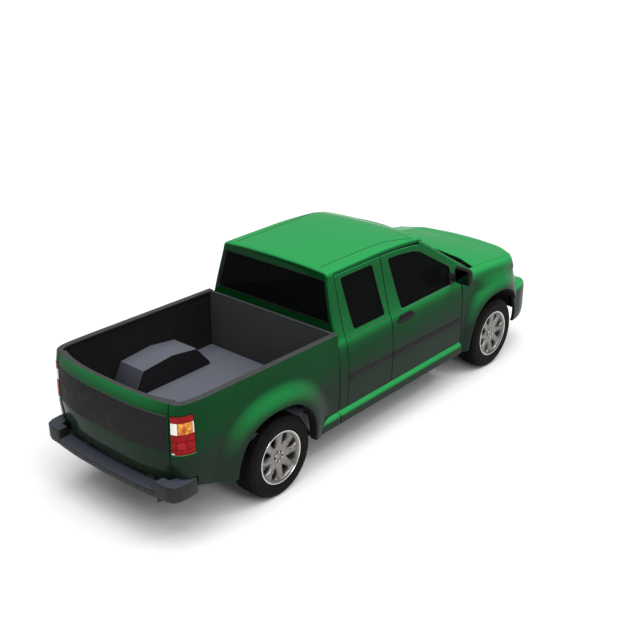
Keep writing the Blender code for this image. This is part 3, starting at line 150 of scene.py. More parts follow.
@dataclass(frozen=True)
class Finish:
    """A surface finish with colour patches, roughness changes and fine relief.

    The colour "up" is painted light on what faces the sky, from a slope of up_from to one of up_full, and
    "foot" is painted shade on what is near the ground. "bend" is the index of refraction.
    """

    name: str
    colour: Colour
    worn: Colour
    rough: float
    pattern: Pattern = Pattern.GRAIN
    scale: float = 700.0
    relief: float = 0.0002
    patch: float = 4.0
    share: float = 0.5
    metal: float = 0.0
    coat: float = 0.0
    specular: float = 0.5
    clear: float = 0.0
    bend: float = 1.45
    glow: float = 0.0
    up: Colour | None = None
    up_from: float = 0.25
    up_full: float = 0.95
    foot: Colour | None = None
    cache: dict = field(default_factory=dict, compare=False, repr=False)

    def material(self) -> bpy.types.Material:
        """Make the material once and return it.

        Returns:
            The material.
        """
        if "made" not in self.cache:
            self.cache["made"] = self.build()
        return self.cache["made"]

    def build(self) -> bpy.types.Material:
        """Build the node tree of the finish.

        Returns:
            The new material.
        """
        g = Graph(self.name)
        shader = g.shader.inputs
        patches = g.ramp(g.noise(self.patch, 4.0), 0.35, 0.7, 0.0, self.share)
        colour = g.mix(patches, self.colour, self.worn)
        # Painted shade: below a wavy height the colour turns to "foot", darker towards the ground.
        if self.foot:
            split = g.node("ShaderNodeSeparateXYZ", Vector=g.place.outputs["Object"])
            painted_shade_height = g.node("ShaderNodeMath", set_operation="ADD", _0=split.outputs[2],
                          _1=g.ramp(g.noise(9.0, 3.0), 0.3, 0.7, -0.05, 0.05))
            colour = g.mix(g.ramp(painted_shade_height.outputs[0], 1.01, 0.68), colour, self.foot)
        # Painted light: faces that point up turn to the "up" colour.
        if self.up:
            painted_light_normal = g.node("ShaderNodeSeparateXYZ", Vector=g.place.outputs["Normal"])
            colour = g.mix(g.ramp(painted_light_normal.outputs[2], self.up_from, self.up_full), colour, self.up)
        g.fill(shader["Base Color"], colour)
        spread = 0.12 * self.rough
        g.fill(shader["Roughness"], g.ramp(g.noise(self.patch * 6.0, 3.0), 0.3, 0.7,
                                           self.rough - spread, self.rough + spread))
        g.fill(shader["Normal"], g.node("ShaderNodeBump", Distance=self.relief, Strength=0.6,
                                        Height=self.height(g)).outputs[0])
        for name, value in (("Metallic", self.metal), ("Coat Weight", self.coat),
                            ("Specular IOR Level", self.specular),
                            ("Transmission Weight", self.clear), ("Emission Strength", self.glow),
                            ("IOR", self.bend)):
            shader[name].default_value = value
        shader["Emission Color"].default_value = (*self.colour, 1.0)
        shader["Coat Roughness"].default_value = 0.04
        return g.material

    def height(self, g: Graph) -> bpy.types.NodeSocket:
        """Height of the fine relief, by its pattern.

        Args:
            g: graph that the nodes are added to.

        Returns:
            Socket with the height.
        """
        if self.pattern is Pattern.PEEL:
            return g.noise(self.scale, 1.0)
        if self.pattern is Pattern.GRAIN:
            return g.node("ShaderNodeTexVoronoi", Vector=g.place.outputs["Object"],
                          Scale=self.scale).outputs["Distance"]
        stretch = {Pattern.BRUSHED: (1.0, 0.06, 1.0), Pattern.FLUTES: (1.0, 1.0, 0.0),
                   Pattern.WEAVE: (1.0, 1.0, 1.0)}[self.pattern]
        turned = g.node("ShaderNodeMapping", Vector=g.place.outputs["Object"], Scale=stretch)
        first = g.node("ShaderNodeTexWave", Vector=turned.outputs[0], Scale=self.scale,
                       Distortion=0.4, set_bands_direction="X").outputs["Fac"]
        if self.pattern is not Pattern.WEAVE:
            return first
        second = g.node("ShaderNodeTexWave", Vector=turned.outputs[0], Scale=self.scale,
                        Distortion=0.4, set_bands_direction="DIAGONAL").outputs["Fac"]
        return g.node("ShaderNodeMath", set_operation="MAXIMUM", _0=first, _1=second).outputs[0]


# Painted light and shade: the darker green of the sides against the lighter "up" green on faces that point
# up, and the darker "foot" colour near the ground.
PAINT = Finish("green_paint", (0.000, 0.034, 0.0065), (0.000, 0.042, 0.0085), 0.22, Pattern.PEEL,
               900.0, 0.00004, 2.0, 0.6, coat=0.09, specular=0.03, up=(0.022, 0.275, 0.072),
               up_from=0.05, up_full=0.72, foot=(0.010, 0.0195, 0.0125))
JAMB = Finish("green_inner", (0.002, 0.060, 0.014), (0.004, 0.050, 0.014), 0.45, Pattern.PEEL, 500.0,
              0.0001, 5.0)
TRIM = Finish("dark_trim", (0.0125, 0.0125, 0.0125), (0.0155, 0.0155, 0.0155), 0.60, Pattern.GRAIN,
              1500.0, 0.00006, 3.0, 0.3, specular=0.1)
RAIL = Finish("rail_cap", (0.046, 0.047, 0.049), (0.056, 0.056, 0.058), 0.55, Pattern.GRAIN, 1200.0,
              0.0001, 9.0, specular=0.15)
BLACK = Finish("black_plastic", (0.005, 0.005, 0.0055), (0.009, 0.009, 0.0095), 0.65, Pattern.GRAIN,
               900.0, 0.0001, 7.0, specular=0.25)
SEAL = Finish("rubber_seal", (0.004, 0.004, 0.004), (0.007, 0.007, 0.007), 0.7, Pattern.GRAIN, 1200.0,
              0.0001, 20.0, specular=0.2)
# The bumper's "up" colour is painted light: a paler, bluish grey on faces that point up.
BUMPER = Finish("bumper_plastic", (0.008, 0.0085, 0.009), (0.012, 0.0125, 0.014), 0.55,
                Pattern.GRAIN, 1200.0, 0.0001, 8.0, specular=0.3, up=(0.046, 0.049, 0.066),
                up_from=0.3)
# The bed liner's "up" colour is painted light: a paler, bluish grey on faces that point up.
LINER = Finish("bed_liner", (0.0055, 0.0055, 0.006), (0.008, 0.008, 0.009), 0.70, Pattern.GRAIN,
               500.0, 0.0002, 6.0, 0.4, specular=0.25, up=(0.105, 0.110, 0.135), up_from=0.05,
               up_full=0.85)
WALL = Finish("bed_front_wall", (0.040, 0.040, 0.040), (0.046, 0.046, 0.046), 0.75, Pattern.GRAIN,
              500.0, 0.0002, 5.0, 0.4, specular=0.2)
GLASS = Finish("tinted_glass", (0.006, 0.0065, 0.0065), (0.005, 0.0055, 0.0055), 0.02, Pattern.PEEL, 4.0,
               0.000001, 1.0, 0.2, clear=0.45, specular=0.5, bend=1.05)
MIRROR = Finish("mirror_glass", (0.05, 0.055, 0.06), (0.04, 0.045, 0.05), 0.08, Pattern.PEEL, 20.0,
                0.00001, 3.0, metal=1.0)
TYRE = Finish("tyre_rubber", (0.0030, 0.0030, 0.0030), (0.0060, 0.0056, 0.0053), 0.70, Pattern.GRAIN,
              1200.0, 0.0001, 9.0, 0.4, specular=0.1)
ALLOY = Finish("wheel_alloy", (0.20, 0.19, 0.175), (0.15, 0.14, 0.13), 0.34, Pattern.PEEL, 600.0,
               0.00005, 12.0, metal=0.8, coat=0.2)
BRIGHT = Finish("bright_metal", (0.70, 0.70, 0.70), (0.60, 0.60, 0.60), 0.16, Pattern.PEEL, 500.0,
                0.00005, 8.0, metal=1.0)
STEEL = Finish("chassis_steel", (0.018, 0.018, 0.019), (0.050, 0.032, 0.024), 0.6, Pattern.GRAIN,
               300.0, 0.0004, 9.0, 0.55, metal=0.3)
CAST = Finish("cast_metal", (0.20, 0.20, 0.21), (0.12, 0.115, 0.11), 0.55, Pattern.GRAIN, 240.0,
              0.0005, 8.0, metal=0.7)
RED = Finish("red_lens", (0.250, 0.001, 0.003), (0.110, 0.001, 0.002), 0.15, Pattern.FLUTES, 200.0,
             0.0002, 26.0, coat=0.06, specular=0.12, glow=0.05)
HOT = Finish("red_lens_bright", (0.32, 0.004, 0.008), (0.22, 0.002, 0.005), 0.15, Pattern.FLUTES,
             200.0, 0.0002, 40.0, coat=0.1, specular=0.15, glow=0.06)
# The amber lens's bright orange patches are painted highlights.
AMBER = Finish("amber_lens", (0.36, 0.070, 0.004), (0.80, 0.38, 0.07), 0.15, Pattern.FLUTES, 200.0,
               0.0002, 30.0, 0.9, coat=0.1, specular=0.15, glow=0.08)
PALE = Finish("clear_lens", (0.80, 0.79, 0.74), (0.70, 0.68, 0.60), 0.12, Pattern.FLUTES, 200.0,
              0.0002, 30.0, coat=0.3)
LENS = Finish("lamp_glass", (0.96, 0.97, 0.98), (0.93, 0.94, 0.95), 0.03, Pattern.PEEL, 60.0,
              0.00002, 6.0, clear=1.0)
CLOTH = Finish("seat_cloth", (0.060, 0.060, 0.066), (0.085, 0.085, 0.092), 0.9, Pattern.WEAVE, 260.0,
               0.0006, 10.0)
VINYL = Finish("cabin_vinyl", (0.050, 0.050, 0.054), (0.070, 0.070, 0.074), 0.6, Pattern.GRAIN, 500.0,
               0.0003, 9.0)
CARPET = Finish("cabin_carpet", (0.030, 0.030, 0.033), (0.045, 0.045, 0.047), 0.95, Pattern.GRAIN,
                900.0, 0.001, 14.0)
HEADLINER = Finish("headliner", (0.30, 0.29, 0.28), (0.34, 0.33, 0.32), 0.9, Pattern.WEAVE, 400.0,
                   0.0004, 8.0)
FLOOR = Finish("studio_floor", (0.86, 0.86, 0.86), (0.84, 0.84, 0.84), 0.9, Pattern.GRAIN, 200.0,
               0.0001, 0.6)


# ---- meshes -----------------------------------------------------------------
@dataclass
class Mesh:
    """Points and faces of a surface."""

    points: list[Point] = field(default_factory=list)
    faces: list[tuple[int, ...]] = field(default_factory=list)

    def add(self, other: Mesh) -> Mesh:
        """Take in another mesh and return this one.

        Args:
            other: mesh whose points and faces are taken in.

        Returns:
            This mesh.
        """
        start = len(self.points)
        self.points += other.points
        self.faces += [tuple(v + start for v in face) for face in other.faces]
        return self

    def placed(self, place: Callable[[Point], Point]) -> Mesh:
        """Copy with every point put through a function."""
        return Mesh([place(p) for p in self.points], list(self.faces))

    def on(self, side: Side) -> Mesh:
        """Copy on the given side of the truck, from a mesh made for the left."""
        return self.placed(lambda p: (p[0] * side.value, p[1], p[2]))


def grid_faces(rows: int, cols: int, start: int = 0, closed: bool = False) -> list[tuple[int, ...]]:
    """Quads between rows of points; closed joins each row's end to its start.

    Args:
        rows: number of rows.
        cols: points in each row.
        start: index of the first point.
        closed: whether each row's end is joined to its start.

    Returns:
        The quads.
    """
    faces = []
    for i in range(rows - 1):
        for j in range(cols if closed else cols - 1):
            a = start + i * cols + j
            b = start + i * cols + (j + 1) % cols
            faces.append((a, b, b + cols, a + cols))
    return faces


def slab(outer: Sequence[Sequence[Point]], inner: Sequence[Sequence[Point]]) -> Mesh:
    """Close two matching grids of points into a sheet with thickness.

    Args:
        outer: rows of points of one face.
        inner: matching rows of the other face.

    Returns:
        The closed sheet.
    """
    rows, cols = len(outer), len(outer[0])
    shift = rows * cols
    points = [tuple(p) for row in (*outer, *inner) for p in row]
    faces = grid_faces(rows, cols) + grid_faces(rows, cols, shift)
    rim = list(range(cols)) + [i * cols + cols - 1 for i in range(1, rows)]
    rim += [(rows - 1) * cols + j for j in range(cols - 2, -1, -1)]
    rim += [i * cols for i in range(rows - 2, 0, -1)]
    for k, a in enumerate(rim):
        b = rim[(k + 1) % len(rim)]
        faces.append((b, a, a + shift, b + shift))
    return Mesh(points, faces)


def loft(rings: Sequence[Sequence[Point]], looped: bool = False) -> Mesh:
    """Join rings of equal length and close the ends, or join them in a loop.

    Args:
        rings: rings of points, all of one length.
        looped: whether the last ring is joined to the first.

    Returns:
        The closed or looped mesh.
    """
    count = len(rings[0])
    points = [tuple(p) for ring in rings for p in ring]
    faces = grid_faces(len(rings), count, closed=True)
    last = len(points) - count
    if looped:
        faces += [(last + j, last + (j + 1) % count, (j + 1) % count, j) for j in range(count)]
    else:
        faces += [tuple(range(count)), tuple(range(last, len(points)))]
    return Mesh(points, faces)


def prism(outline: Sequence[Flat], low: float, high: float, axis: str = "x",
          edge: float = 0.002) -> Mesh:
    """Extrude an outline along an axis with small worn edges at both ends.

    Args:
        outline: corner points in order.
        low: start along the axis.
        high: end along the axis.
        axis: axis of the extrusion.
        edge: width of the worn edge.

    Returns:
        The extruded mesh.
    """

    def put(a: float, b: float, t: float) -> Point:
        """Place an outline point at a way along the axis."""
        return {"x": (t, a, b), "y": (a, t, b), "z": (a, b, t)}[axis]

    small = inset(outline, edge)
    rings = [(small, low), (outline, low + edge), (outline, high - edge), (small, high)]
    return loft([[put(a, b, t) for a, b in shape] for shape, t in rings])


def block(low: Point, high: Point, edge: float = 0.004) -> Mesh:
    """A box with all its edges rounded off."""
    return prism(oblong(low[1:], high[1:], edge * 1.5, 3), low[0], high[0], "x", edge)


def tube(path: Sequence[Point], radius: float | Sequence[float], sides: int = 12,
         looped: bool = False) -> Mesh:
    """A round bar along path points; radius may change along it.

    Args:
        path: points of the middle line.
        radius: one radius, or one for each point.
        sides: points round the bar.
        looped: whether the path closes on itself.

    Returns:
        The bar.
    """
    rings = []
    count = len(path)
    for k, point in enumerate(path):
        before = path[(k - 1) % count] if looped else path[max(k - 1, 0)]
        after = path[(k + 1) % count] if looped else path[min(k + 1, count - 1)]
        along = (Vector(after) - Vector(before)).normalized()
        helper = Vector((0, 0, 1)) if abs(along.z) < 0.9 else Vector((1, 0, 0))
        u = along.cross(helper).normalized()
        v = along.cross(u)
        r = radius[k] if isinstance(radius, (list, tuple)) else radius
        rings.append([tuple(Vector(point) + r * (math.cos(t) * u + math.sin(t) * v))
                      for t in np.linspace(0, 2 * math.pi, sides, endpoint=False)])
    return loft(rings, looped)


def lathe(profile: Sequence[Flat], sides: int, closed: bool = True) -> Mesh:
    """Turn a profile of (radius, x) about the X axis; radius 0 makes a pole.

    Args:
        profile: pairs of radius and x.
        sides: points round the axis.
        closed: whether the profile's end is joined to its start.

    Returns:
        The turned mesh.
    """
    made = Mesh()
    rings: list[list[int]] = []
    for radius, x in profile:
        start = len(made.points)
        if radius < 1e-6:
            made.points.append((x, 0.0, 0.0))
            rings.append([start] * sides)
            continue
        turns = np.linspace(0, 2 * math.pi, sides, endpoint=False)
        made.points += [(x, radius * math.cos(t), radius * math.sin(t)) for t in turns]
        rings.append(list(range(start, start + sides)))
    for k in range(len(rings) if closed else len(rings) - 1):
        a, b = rings[k], rings[(k + 1) % len(rings)]
        for n in range(sides):
            m = (n + 1) % sides
            face = list(dict.fromkeys((a[n], a[m], b[m], b[n])))
            if len(face) > 2:
                made.faces.append(tuple(face))
    return made


def inset(outline: Sequence[Flat], reach: float) -> list[Flat]:
    """Move an outline inwards; a negative reach moves it outwards.

    Args:
        outline: corner points in order.
        reach: way inwards.

    Returns:
        The moved outline.
    """
    count = len(outline)
    area = sum(outline[k - 1][0] * outline[k][1] - outline[k][0] * outline[k - 1][1]
               for k in range(count))
    turn = 1.0 if area > 0 else -1.0
    moved = []
    for k, (a, b) in enumerate(outline):
        before, after = outline[k - 1], outline[(k + 1) % count]
        one = Vector((a - before[0], b - before[1])).normalized()
        two = Vector((after[0] - a, after[1] - b)).normalized()
        normal = Vector((-(one.y + two.y), one.x + two.x)) * turn
        scale = reach / max(normal.length_squared / 2, 0.3)
        moved.append((a + normal.x * scale, b + normal.y * scale))
    return moved


def rounded(outline: Sequence[Flat], radius: float, steps: int = 4) -> list[Flat]:
    """Replace each corner of an outline by a short curve.

    Args:
        outline: corner points in order.
        radius: reach of each curve from its corner.
        steps: points to a curve.

    Returns:
        The outline with curves for corners.
    """
    points: list[Flat] = []
    count = len(outline)
    for k in range(count):
        here = Vector(outline[k])
        before = Vector(outline[k - 1]) - here
        after = Vector(outline[(k + 1) % count]) - here
        reach = min(radius, before.length * 0.45, after.length * 0.45)
        start, end = here + before.normalized() * reach, here + after.normalized() * reach
        for t in np.linspace(0, 1, steps + 1):
            spot = start * (1 - t) ** 2 + here * (2 * t * (1 - t)) + end * t ** 2
            points.append((spot.x, spot.y))
    return points


def oblong(low: Flat, high: Flat, radius: float, steps: int = 4) -> list[Flat]:
    """Rectangle with rounded corners, from two opposite ones."""
    return rounded([low, (high[0], low[1]), high, (low[0], high[1])], radius, steps)


def resampled(outline: Sequence[Flat], pitch: float) -> list[Flat]:
    """Split the long sides of an outline.

    Args:
        outline: corner points in order.
        pitch: longest side left.

    Returns:
        The outline with more points.
    """
    points: list[Flat] = []
    for k, (a, b) in enumerate(outline):
        c, d = outline[(k + 1) % len(outline)]
        parts = max(1, math.ceil(math.hypot(c - a, d - b) / pitch - 0.01))
        points += [(a + (c - a) * n / parts, b + (d - b) * n / parts) for n in range(parts)]
    return points


def inside(spots: np.ndarray, outline: Sequence[Flat]) -> np.ndarray:
    """Which spots lie inside an outline.

    Args:
        spots: points to test, one in each row.
        outline: corner points in order.

    Returns:
        One truth value for each spot.
    """
    shape = np.array(outline)
    other = np.roll(shape, -1, axis=0)
    x, y = spots[:, :1], spots[:, 1:]
    crosses = (shape[:, 1] > y) != (other[:, 1] > y)
    with np.errstate(divide="ignore", invalid="ignore"):
        at = (other[:, 0] - shape[:, 0]) * (y - shape[:, 1]) / (other[:, 1] - shape[:, 1]) + shape[:, 0]
    return (np.sum(crosses & (x < at), axis=1) % 2) == 1


def distance(spots: np.ndarray, outline: Sequence[Flat]) -> np.ndarray:
    """Shortest way from each spot to an outline.

    Args:
        spots: points to test, one in each row.
        outline: corner points in order.

    Returns:
        One distance for each spot.
    """
    a = np.array(outline)
    d = np.roll(a, -1, axis=0) - a
    rel = spots[:, None, :] - a[None]
    t = np.clip((rel * d).sum(2) / np.maximum((d * d).sum(1), 1e-12), 0, 1)
    return np.sqrt((((rel - t[..., None] * d) ** 2).sum(2)).min(1))


def panel(outline: Sequence[Flat], outer: Callable[[float, float], Point],
          inner: Callable[[float, float], Point], holes: Sequence[Sequence[Flat]] = (),
          pitch: float = 0.022, edge: float = 0.0025) -> tuple[Mesh, Mesh]:
    """Make a closed sheet-metal panel over a surface, with softened edges.

    Args:
        outline: edge of the panel in the surface's own two coordinates.
        outer: outer face as a function of those coordinates.
        inner: inner face.
        holes: outlines of its openings.
        pitch: distance between points.
        edge: width of the softened edge.

    Returns:
        The outer skin with its softened edge, and the inner skin with the rest of the rim.
    """
    loops = [resampled(loop, pitch) for loop in (outline, *holes)]
    small = [inset(loop, edge if k == 0 else -edge) for k, loop in enumerate(loops)]
    spots = [spot for loop in small for spot in loop]
    links = []
    start = 0
    for loop in small:
        links += [(start + n, start + (n + 1) % len(loop)) for n in range(len(loop))]
        start += len(loop)
    low, high = np.min(small[0], axis=0), np.max(small[0], axis=0)
    mesh = np.meshgrid(np.arange(low[0] + pitch / 2, high[0], pitch),
                       np.arange(low[1] + pitch / 2, high[1], pitch))
    fill = np.stack([m.ravel() for m in mesh], axis=1)
    keep = inside(fill, small[0])
    for k, loop in enumerate(small):
        keep &= distance(fill, loop) > 0.55 * pitch
        if k:
            keep &= ~inside(fill, loop)
    spots += [tuple(s) for s in fill[keep]]
    made = geometry.delaunay_2d_cdt([Vector(s) for s in spots], links, [], 0, 1e-7)
    flat = [(v.x, v.y) for v in made[0]]
    origin = {source: k for k, group in enumerate(made[3]) for source in group}
    faces = [tuple(f) for f in made[2]]
    middle = np.array([np.mean([flat[v] for v in f], axis=0) for f in faces])
    good = inside(middle, small[0])
    for loop in small[1:]:
        good &= ~inside(middle, loop)
    faces = [f for f, ok in zip(faces, good) if ok]
    skin = Mesh([tuple(outer(a, b)) for a, b in flat], faces)
    back = Mesh([tuple(inner(a, b)) for a, b in flat], [tuple(reversed(f)) for f in faces])
    start = 0
    for loop in loops:
        top, low_ring = [], []
        for a, b in loop:
            face, rear = Vector(outer(a, b)), Vector(inner(a, b))
            share = min(edge / max((face - rear).length, 1e-6), 0.45)
            top.append(tuple(face.lerp(rear, share)))
            low_ring.append(tuple(face.lerp(rear, 1 - share)))
        count = len(loop)
        first = [skin.points[origin[start + n]] for n in range(count)]
        last = [back.points[origin[start + n]] for n in range(count)]
        skin.add(Mesh([*first, *top], grid_faces(2, count, closed=True)))
        back.add(Mesh([*top, *low_ring, *last], grid_faces(3, count, closed=True)))
        start += count
    return skin, back


Surface = Callable[[float, float, float], Point]


def layer(outline: Sequence[Flat], surface: Surface, near: float, far: float, pitch: float,
          edge: float, holes: Sequence[Sequence[Flat]] = ()) -> tuple[Mesh, Mesh]:
    """Make a panel between two offsets from one surface."""
    return panel(outline, lambda a, b: surface(a, b, near), lambda a, b: surface(a, b, far),
                 holes, pitch, edge)


def sheet(surface: Surface, across: Sequence[float], along: Sequence[float], near: float,
          far: float) -> Mesh:
    """Make a closed sheet between two offsets from a surface, over a grid of its coordinates."""
    return slab([[surface(a, b, near) for a in across] for b in along],
                [[surface(a, b, far) for a in across] for b in along])


def added(name: str, data: bpy.types.ID) -> bpy.types.Object:
    """Add an object to the scene.

    Args:
        name: name of the object.
        data: mesh, light or camera that it shows.

    Returns:
        The object.
    """
    item = bpy.data.objects.new(name, data)
    bpy.context.scene.collection.objects.link(item)
    return item


def shaded(work: bmesh.types.BMesh, name: str, angle: float) -> bpy.types.Mesh:
    """Turn the faces outwards and write them as mesh data.

    Args:
        work: faces, which are freed.
        name: name of the mesh data.
        angle: edges sharper than this many degrees stay sharp.

    Returns:
        The mesh data, shaded smooth.
    """
    bmesh.ops.recalc_face_normals(work, faces=work.faces)
    data = bpy.data.meshes.new(name)
    work.to_mesh(data)
    work.free()
    data.shade_smooth()
    data.set_sharp_from_angle(angle=math.radians(angle))
    return data


class Piece:
    """One visible object made of parts in several finishes."""

    def __init__(self, name: str, body: str = "body", stands_for: Sequence[str] = (),
                 slot: str | None = None) -> None:
        """Start a piece that rides on a body and may stand for nodes of the frame."""
        self.name, self.body, self.stands_for, self.slot = name, body, stands_for, slot
        self.parts: list[tuple[Mesh, Finish]] = []

    def put(self, mesh: Mesh | Iterable[Mesh], finish: Finish) -> Piece:
        """Add a part, or several, in one finish.

        Args:
            mesh: one mesh, or several.
            finish: their finish.

        Returns:
            This piece.
        """
        for part in [mesh] if isinstance(mesh, Mesh) else mesh:
            self.parts.append((part, finish))
        return self

    def put_panel(self, made: tuple[Mesh, Mesh], outer: Finish, inner: Finish) -> Piece:
        """Add a panel's two skins in their finishes."""
        return self.put(made[0], outer).put(made[1], inner)

    def build(self, angle: float = 32.0, mirror: Side = Side.LEFT) -> bpy.types.Object:
        """Join the parts, turn their faces outwards, shade them and place the piece.

        Args:
            angle: edges sharper than this many degrees stay sharp.
            mirror: side of the truck for parts made on the left.

        Returns:
            The finished object.
        """
        work = bmesh.new()
        finishes: list[Finish] = []
        for mesh, finish in self.parts:
            if finish not in finishes:
                finishes.append(finish)
            verts = [work.verts.new((p[0] * mirror.value, p[1], p[2])) for p in mesh.points]
            for face in mesh.faces:
                try:
                    work.faces.new([verts[v] for v in face]).material_index = finishes.index(finish)
                except ValueError:
                    continue
        bmesh.ops.remove_doubles(work, verts=work.verts, dist=2e-6)
        bmesh.ops.dissolve_degenerate(work, edges=work.edges, dist=1e-6)
        data = shaded(work, self.name, angle)
        for finish in finishes:
            data.materials.append(finish.material())
        item = added(self.name, data)
        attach(item, self.body)
        if self.stands_for:
            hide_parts(*self.stands_for)
        LOG.info("%s: %d faces on %s", self.name, len(data.polygons), self.body)
        return item


class Curve:
    """Smooth line through (place, value) pairs that never overshoots them."""

    def __init__(self, *pairs: Flat) -> None:
        """Work out the slopes at the pairs.

        Args:
            pairs: (place, value) pairs in order.
        """
        self.at = [p[0] for p in pairs]
        self.value = [p[1] for p in pairs]
        steps = [(b[1] - a[1]) / (b[0] - a[0]) for a, b in zip(pairs, pairs[1:])]
        middle = [0.0 if a * b <= 0 else 2 * a * b / (a + b) for a, b in zip(steps, steps[1:])]
        self.slope = [steps[0], *middle, steps[-1]]

    def __call__(self, place: float) -> float:
        """Value at a place, held level beyond the ends.

        Args:
            place: place to read the value at.

        Returns:
            The value.
        """
        place = min(max(place, self.at[0]), self.at[-1])
        k = min(max(bisect_right(self.at, place) - 1, 0), len(self.at) - 2)
        h = self.at[k + 1] - self.at[k]
        t = (place - self.at[k]) / h
        return ((1 + 2 * t) * (1 - t) ** 2 * self.value[k] + t * (1 - t) ** 2 * h * self.slope[k]
                + t * t * (3 - 2 * t) * self.value[k + 1] + t * t * (t - 1) * h * self.slope[k + 1])


class Path:
    """Plan path of points, read by the way along it."""

    def __init__(self, points: Sequence[Flat]) -> None:
        """Measure the path.

        Args:
            points: points of the path in plan.
        """
        ways = [0.0]
        for (a, b), (c, d) in zip(points, points[1:]):
            ways.append(ways[-1] + math.hypot(c - a, d - b))
        self.length = ways[-1]
        self.x = Curve(*zip(ways, [p[0] for p in points]))
        self.y = Curve(*zip(ways, [p[1] for p in points]))
        self.by_y = Curve(*sorted(zip([p[1] for p in points], ways)))

    def frame(self, way: float) -> tuple[float, float, float, float]:
        """Place and outward direction at a way along the path.

        Args:
            way: way along the plan path.

        Returns:
            X, Y and the two parts of the outward direction.
        """
        a, b = max(way - 0.004, 0.0), min(way + 0.004, self.length)
        along = Vector((self.x(b) - self.x(a), self.y(b) - self.y(a))).normalized()
        return self.x(way), self.y(way), along.y, -along.x


# ---- lines of the body ------------------------------------------------------
@dataclass(frozen=True)
class BodyLines:
    """Sizes and surfaces that the body panels share, metres."""

    rear_axle_y: float = 1.451
    front_axle_y: float = -1.747
    axle_z: float = 0.363
    arch_half: float = 0.465
    arch_rise: float = 0.470
    arch_back: float = 0.05
    flare_out: float = 0.056
    door_front_y: float = -1.157
    door_split_y: float = -0.050
    door_rear_y: float = 0.575
    seam: float = 0.006
    bed_front_y: float = 0.706
    bed_inner_x: float = 0.742
    cab: Curve = Curve((0.33, 0.762), (0.46, 0.778), (0.55, 0.785), (0.66, 0.790), (0.78, 0.790),
                       (0.95, 0.783), (1.03, 0.774), (1.08, 0.762), (1.12, 0.744), (1.66, 0.609))
    bed: Curve = Curve((0.33, 0.762), (0.46, 0.778), (0.55, 0.785), (0.66, 0.790), (0.78, 0.790),
                       (0.95, 0.786), (1.12, 0.779), (1.18, 0.774), (1.24, 0.768))
    rear_inset: Curve = Curve((0.33, -0.080), (0.52, -0.050), (0.60, -0.030), (0.72, -0.008),
                              (0.83, 0.0), (1.12, -0.008), (1.23, -0.026))
    nose: Curve = Curve((-2.60, 0.250), (-2.45, 0.120), (-2.30, 0.085), (-2.20, 0.055),
                        (-2.10, 0.030), (-2.00, 0.012), (-1.90, 0.0))
    hood_edge: Curve = Curve((-2.32, 1.072), (-2.155, 1.086), (-1.956, 1.113), (-1.765, 1.135),
                             (-1.58, 1.148), (-1.345, 1.164), (-1.15, 1.150))

    @property
    def rear_arch_y(self) -> float:
        """Middle of the rear wheel arch, a little behind its axle."""
        return self.rear_axle_y + self.arch_back

    def side(self, y: float, z: float, out: float = 0.0) -> Point:
        """Point on the left side of the cab, moved outwards."""
        return self.cab(z) + out, y, z

    def flare(self, y: float, z: float) -> float:
        """How far the wheel flares stand out from the side.

        Args:
            y: length along the truck.
            z: height.

        Returns:
            The way out, 0 away from the wheels.
        """
        out = 0.0
        for axle, front, rear in ((self.rear_arch_y, 0.50, 0.55),
                                  (self.front_axle_y, 0.60, 0.26)):
            along = (y - axle) / self.arch_half
            up = max(z - self.axle_z, 0.0) / self.arch_rise
            radius = (abs(along) ** 2.4 + up ** 2.4) ** (1.0 / 2.4)
            reach = front if along < 0.0 else rear
            reach += (0.45 - reach) * min(up / max(radius, 0.01), 1.0) ** 2
            fall = min(max((radius - 1.0) / reach, 0.0), 1.0)
            out = max(out, self.flare_out * (1.0 - fall) ** 2 * (1.0 + 2.0 * fall))
        return out

    def arch(self, axle: float, grow: float = 0.0, steps: int = 48) -> list[Flat]:
        """Wheel arch from its rear foot over the top to its front foot.

        Args:
            axle: length of the arch's middle.
            grow: way outwards from the arch.
            steps: points to a curve.

        Returns:
            Points of (y, z).
        """
        points = []
        for t in np.linspace(0, math.pi, steps):
            c, s = math.cos(t), math.sin(t)
            points.append((axle + (self.arch_half + grow) * math.copysign(abs(c) ** (2 / 2.4), c),
                           self.axle_z + (self.arch_rise + grow) * max(s, 0.0) ** (2 / 2.4)))
        return points

    def bed_top(self, y: float) -> float:
        """Height of the bed rail."""
        return 1.200 + (y - self.bed_front_y) * 0.0155

    def windshield_edge(self, t: float) -> Vector:
        """Point on the left edge of the windshield, from its foot to the roof."""
        return Vector((0.668 - 0.078 * t, -1.405 + 0.729 * t, 1.146 + 0.466 * t))

    def windshield(self, u: float, v: float, sink: float = 0.0) -> Vector:
        """Point on the windshield; u is -1..1 across and v 0..1 up.

        Args:
            u: -1..1 across.
            v: 0..1 up.
            sink: way inwards from the outer face.

        Returns:
            The point.
        """
        edge = self.windshield_edge(v)
        bow = (0.105 - 0.027 * v) * (1 - u * u)
        rise = (0.018 + 0.028 * v - 0.045 * max(v - 0.65, 0.0)) * (1 - u * u)
        return Vector((edge.x * u, edge.y - bow + sink * 0.55, edge.z + rise - sink * 0.83))


LINES = BodyLines()


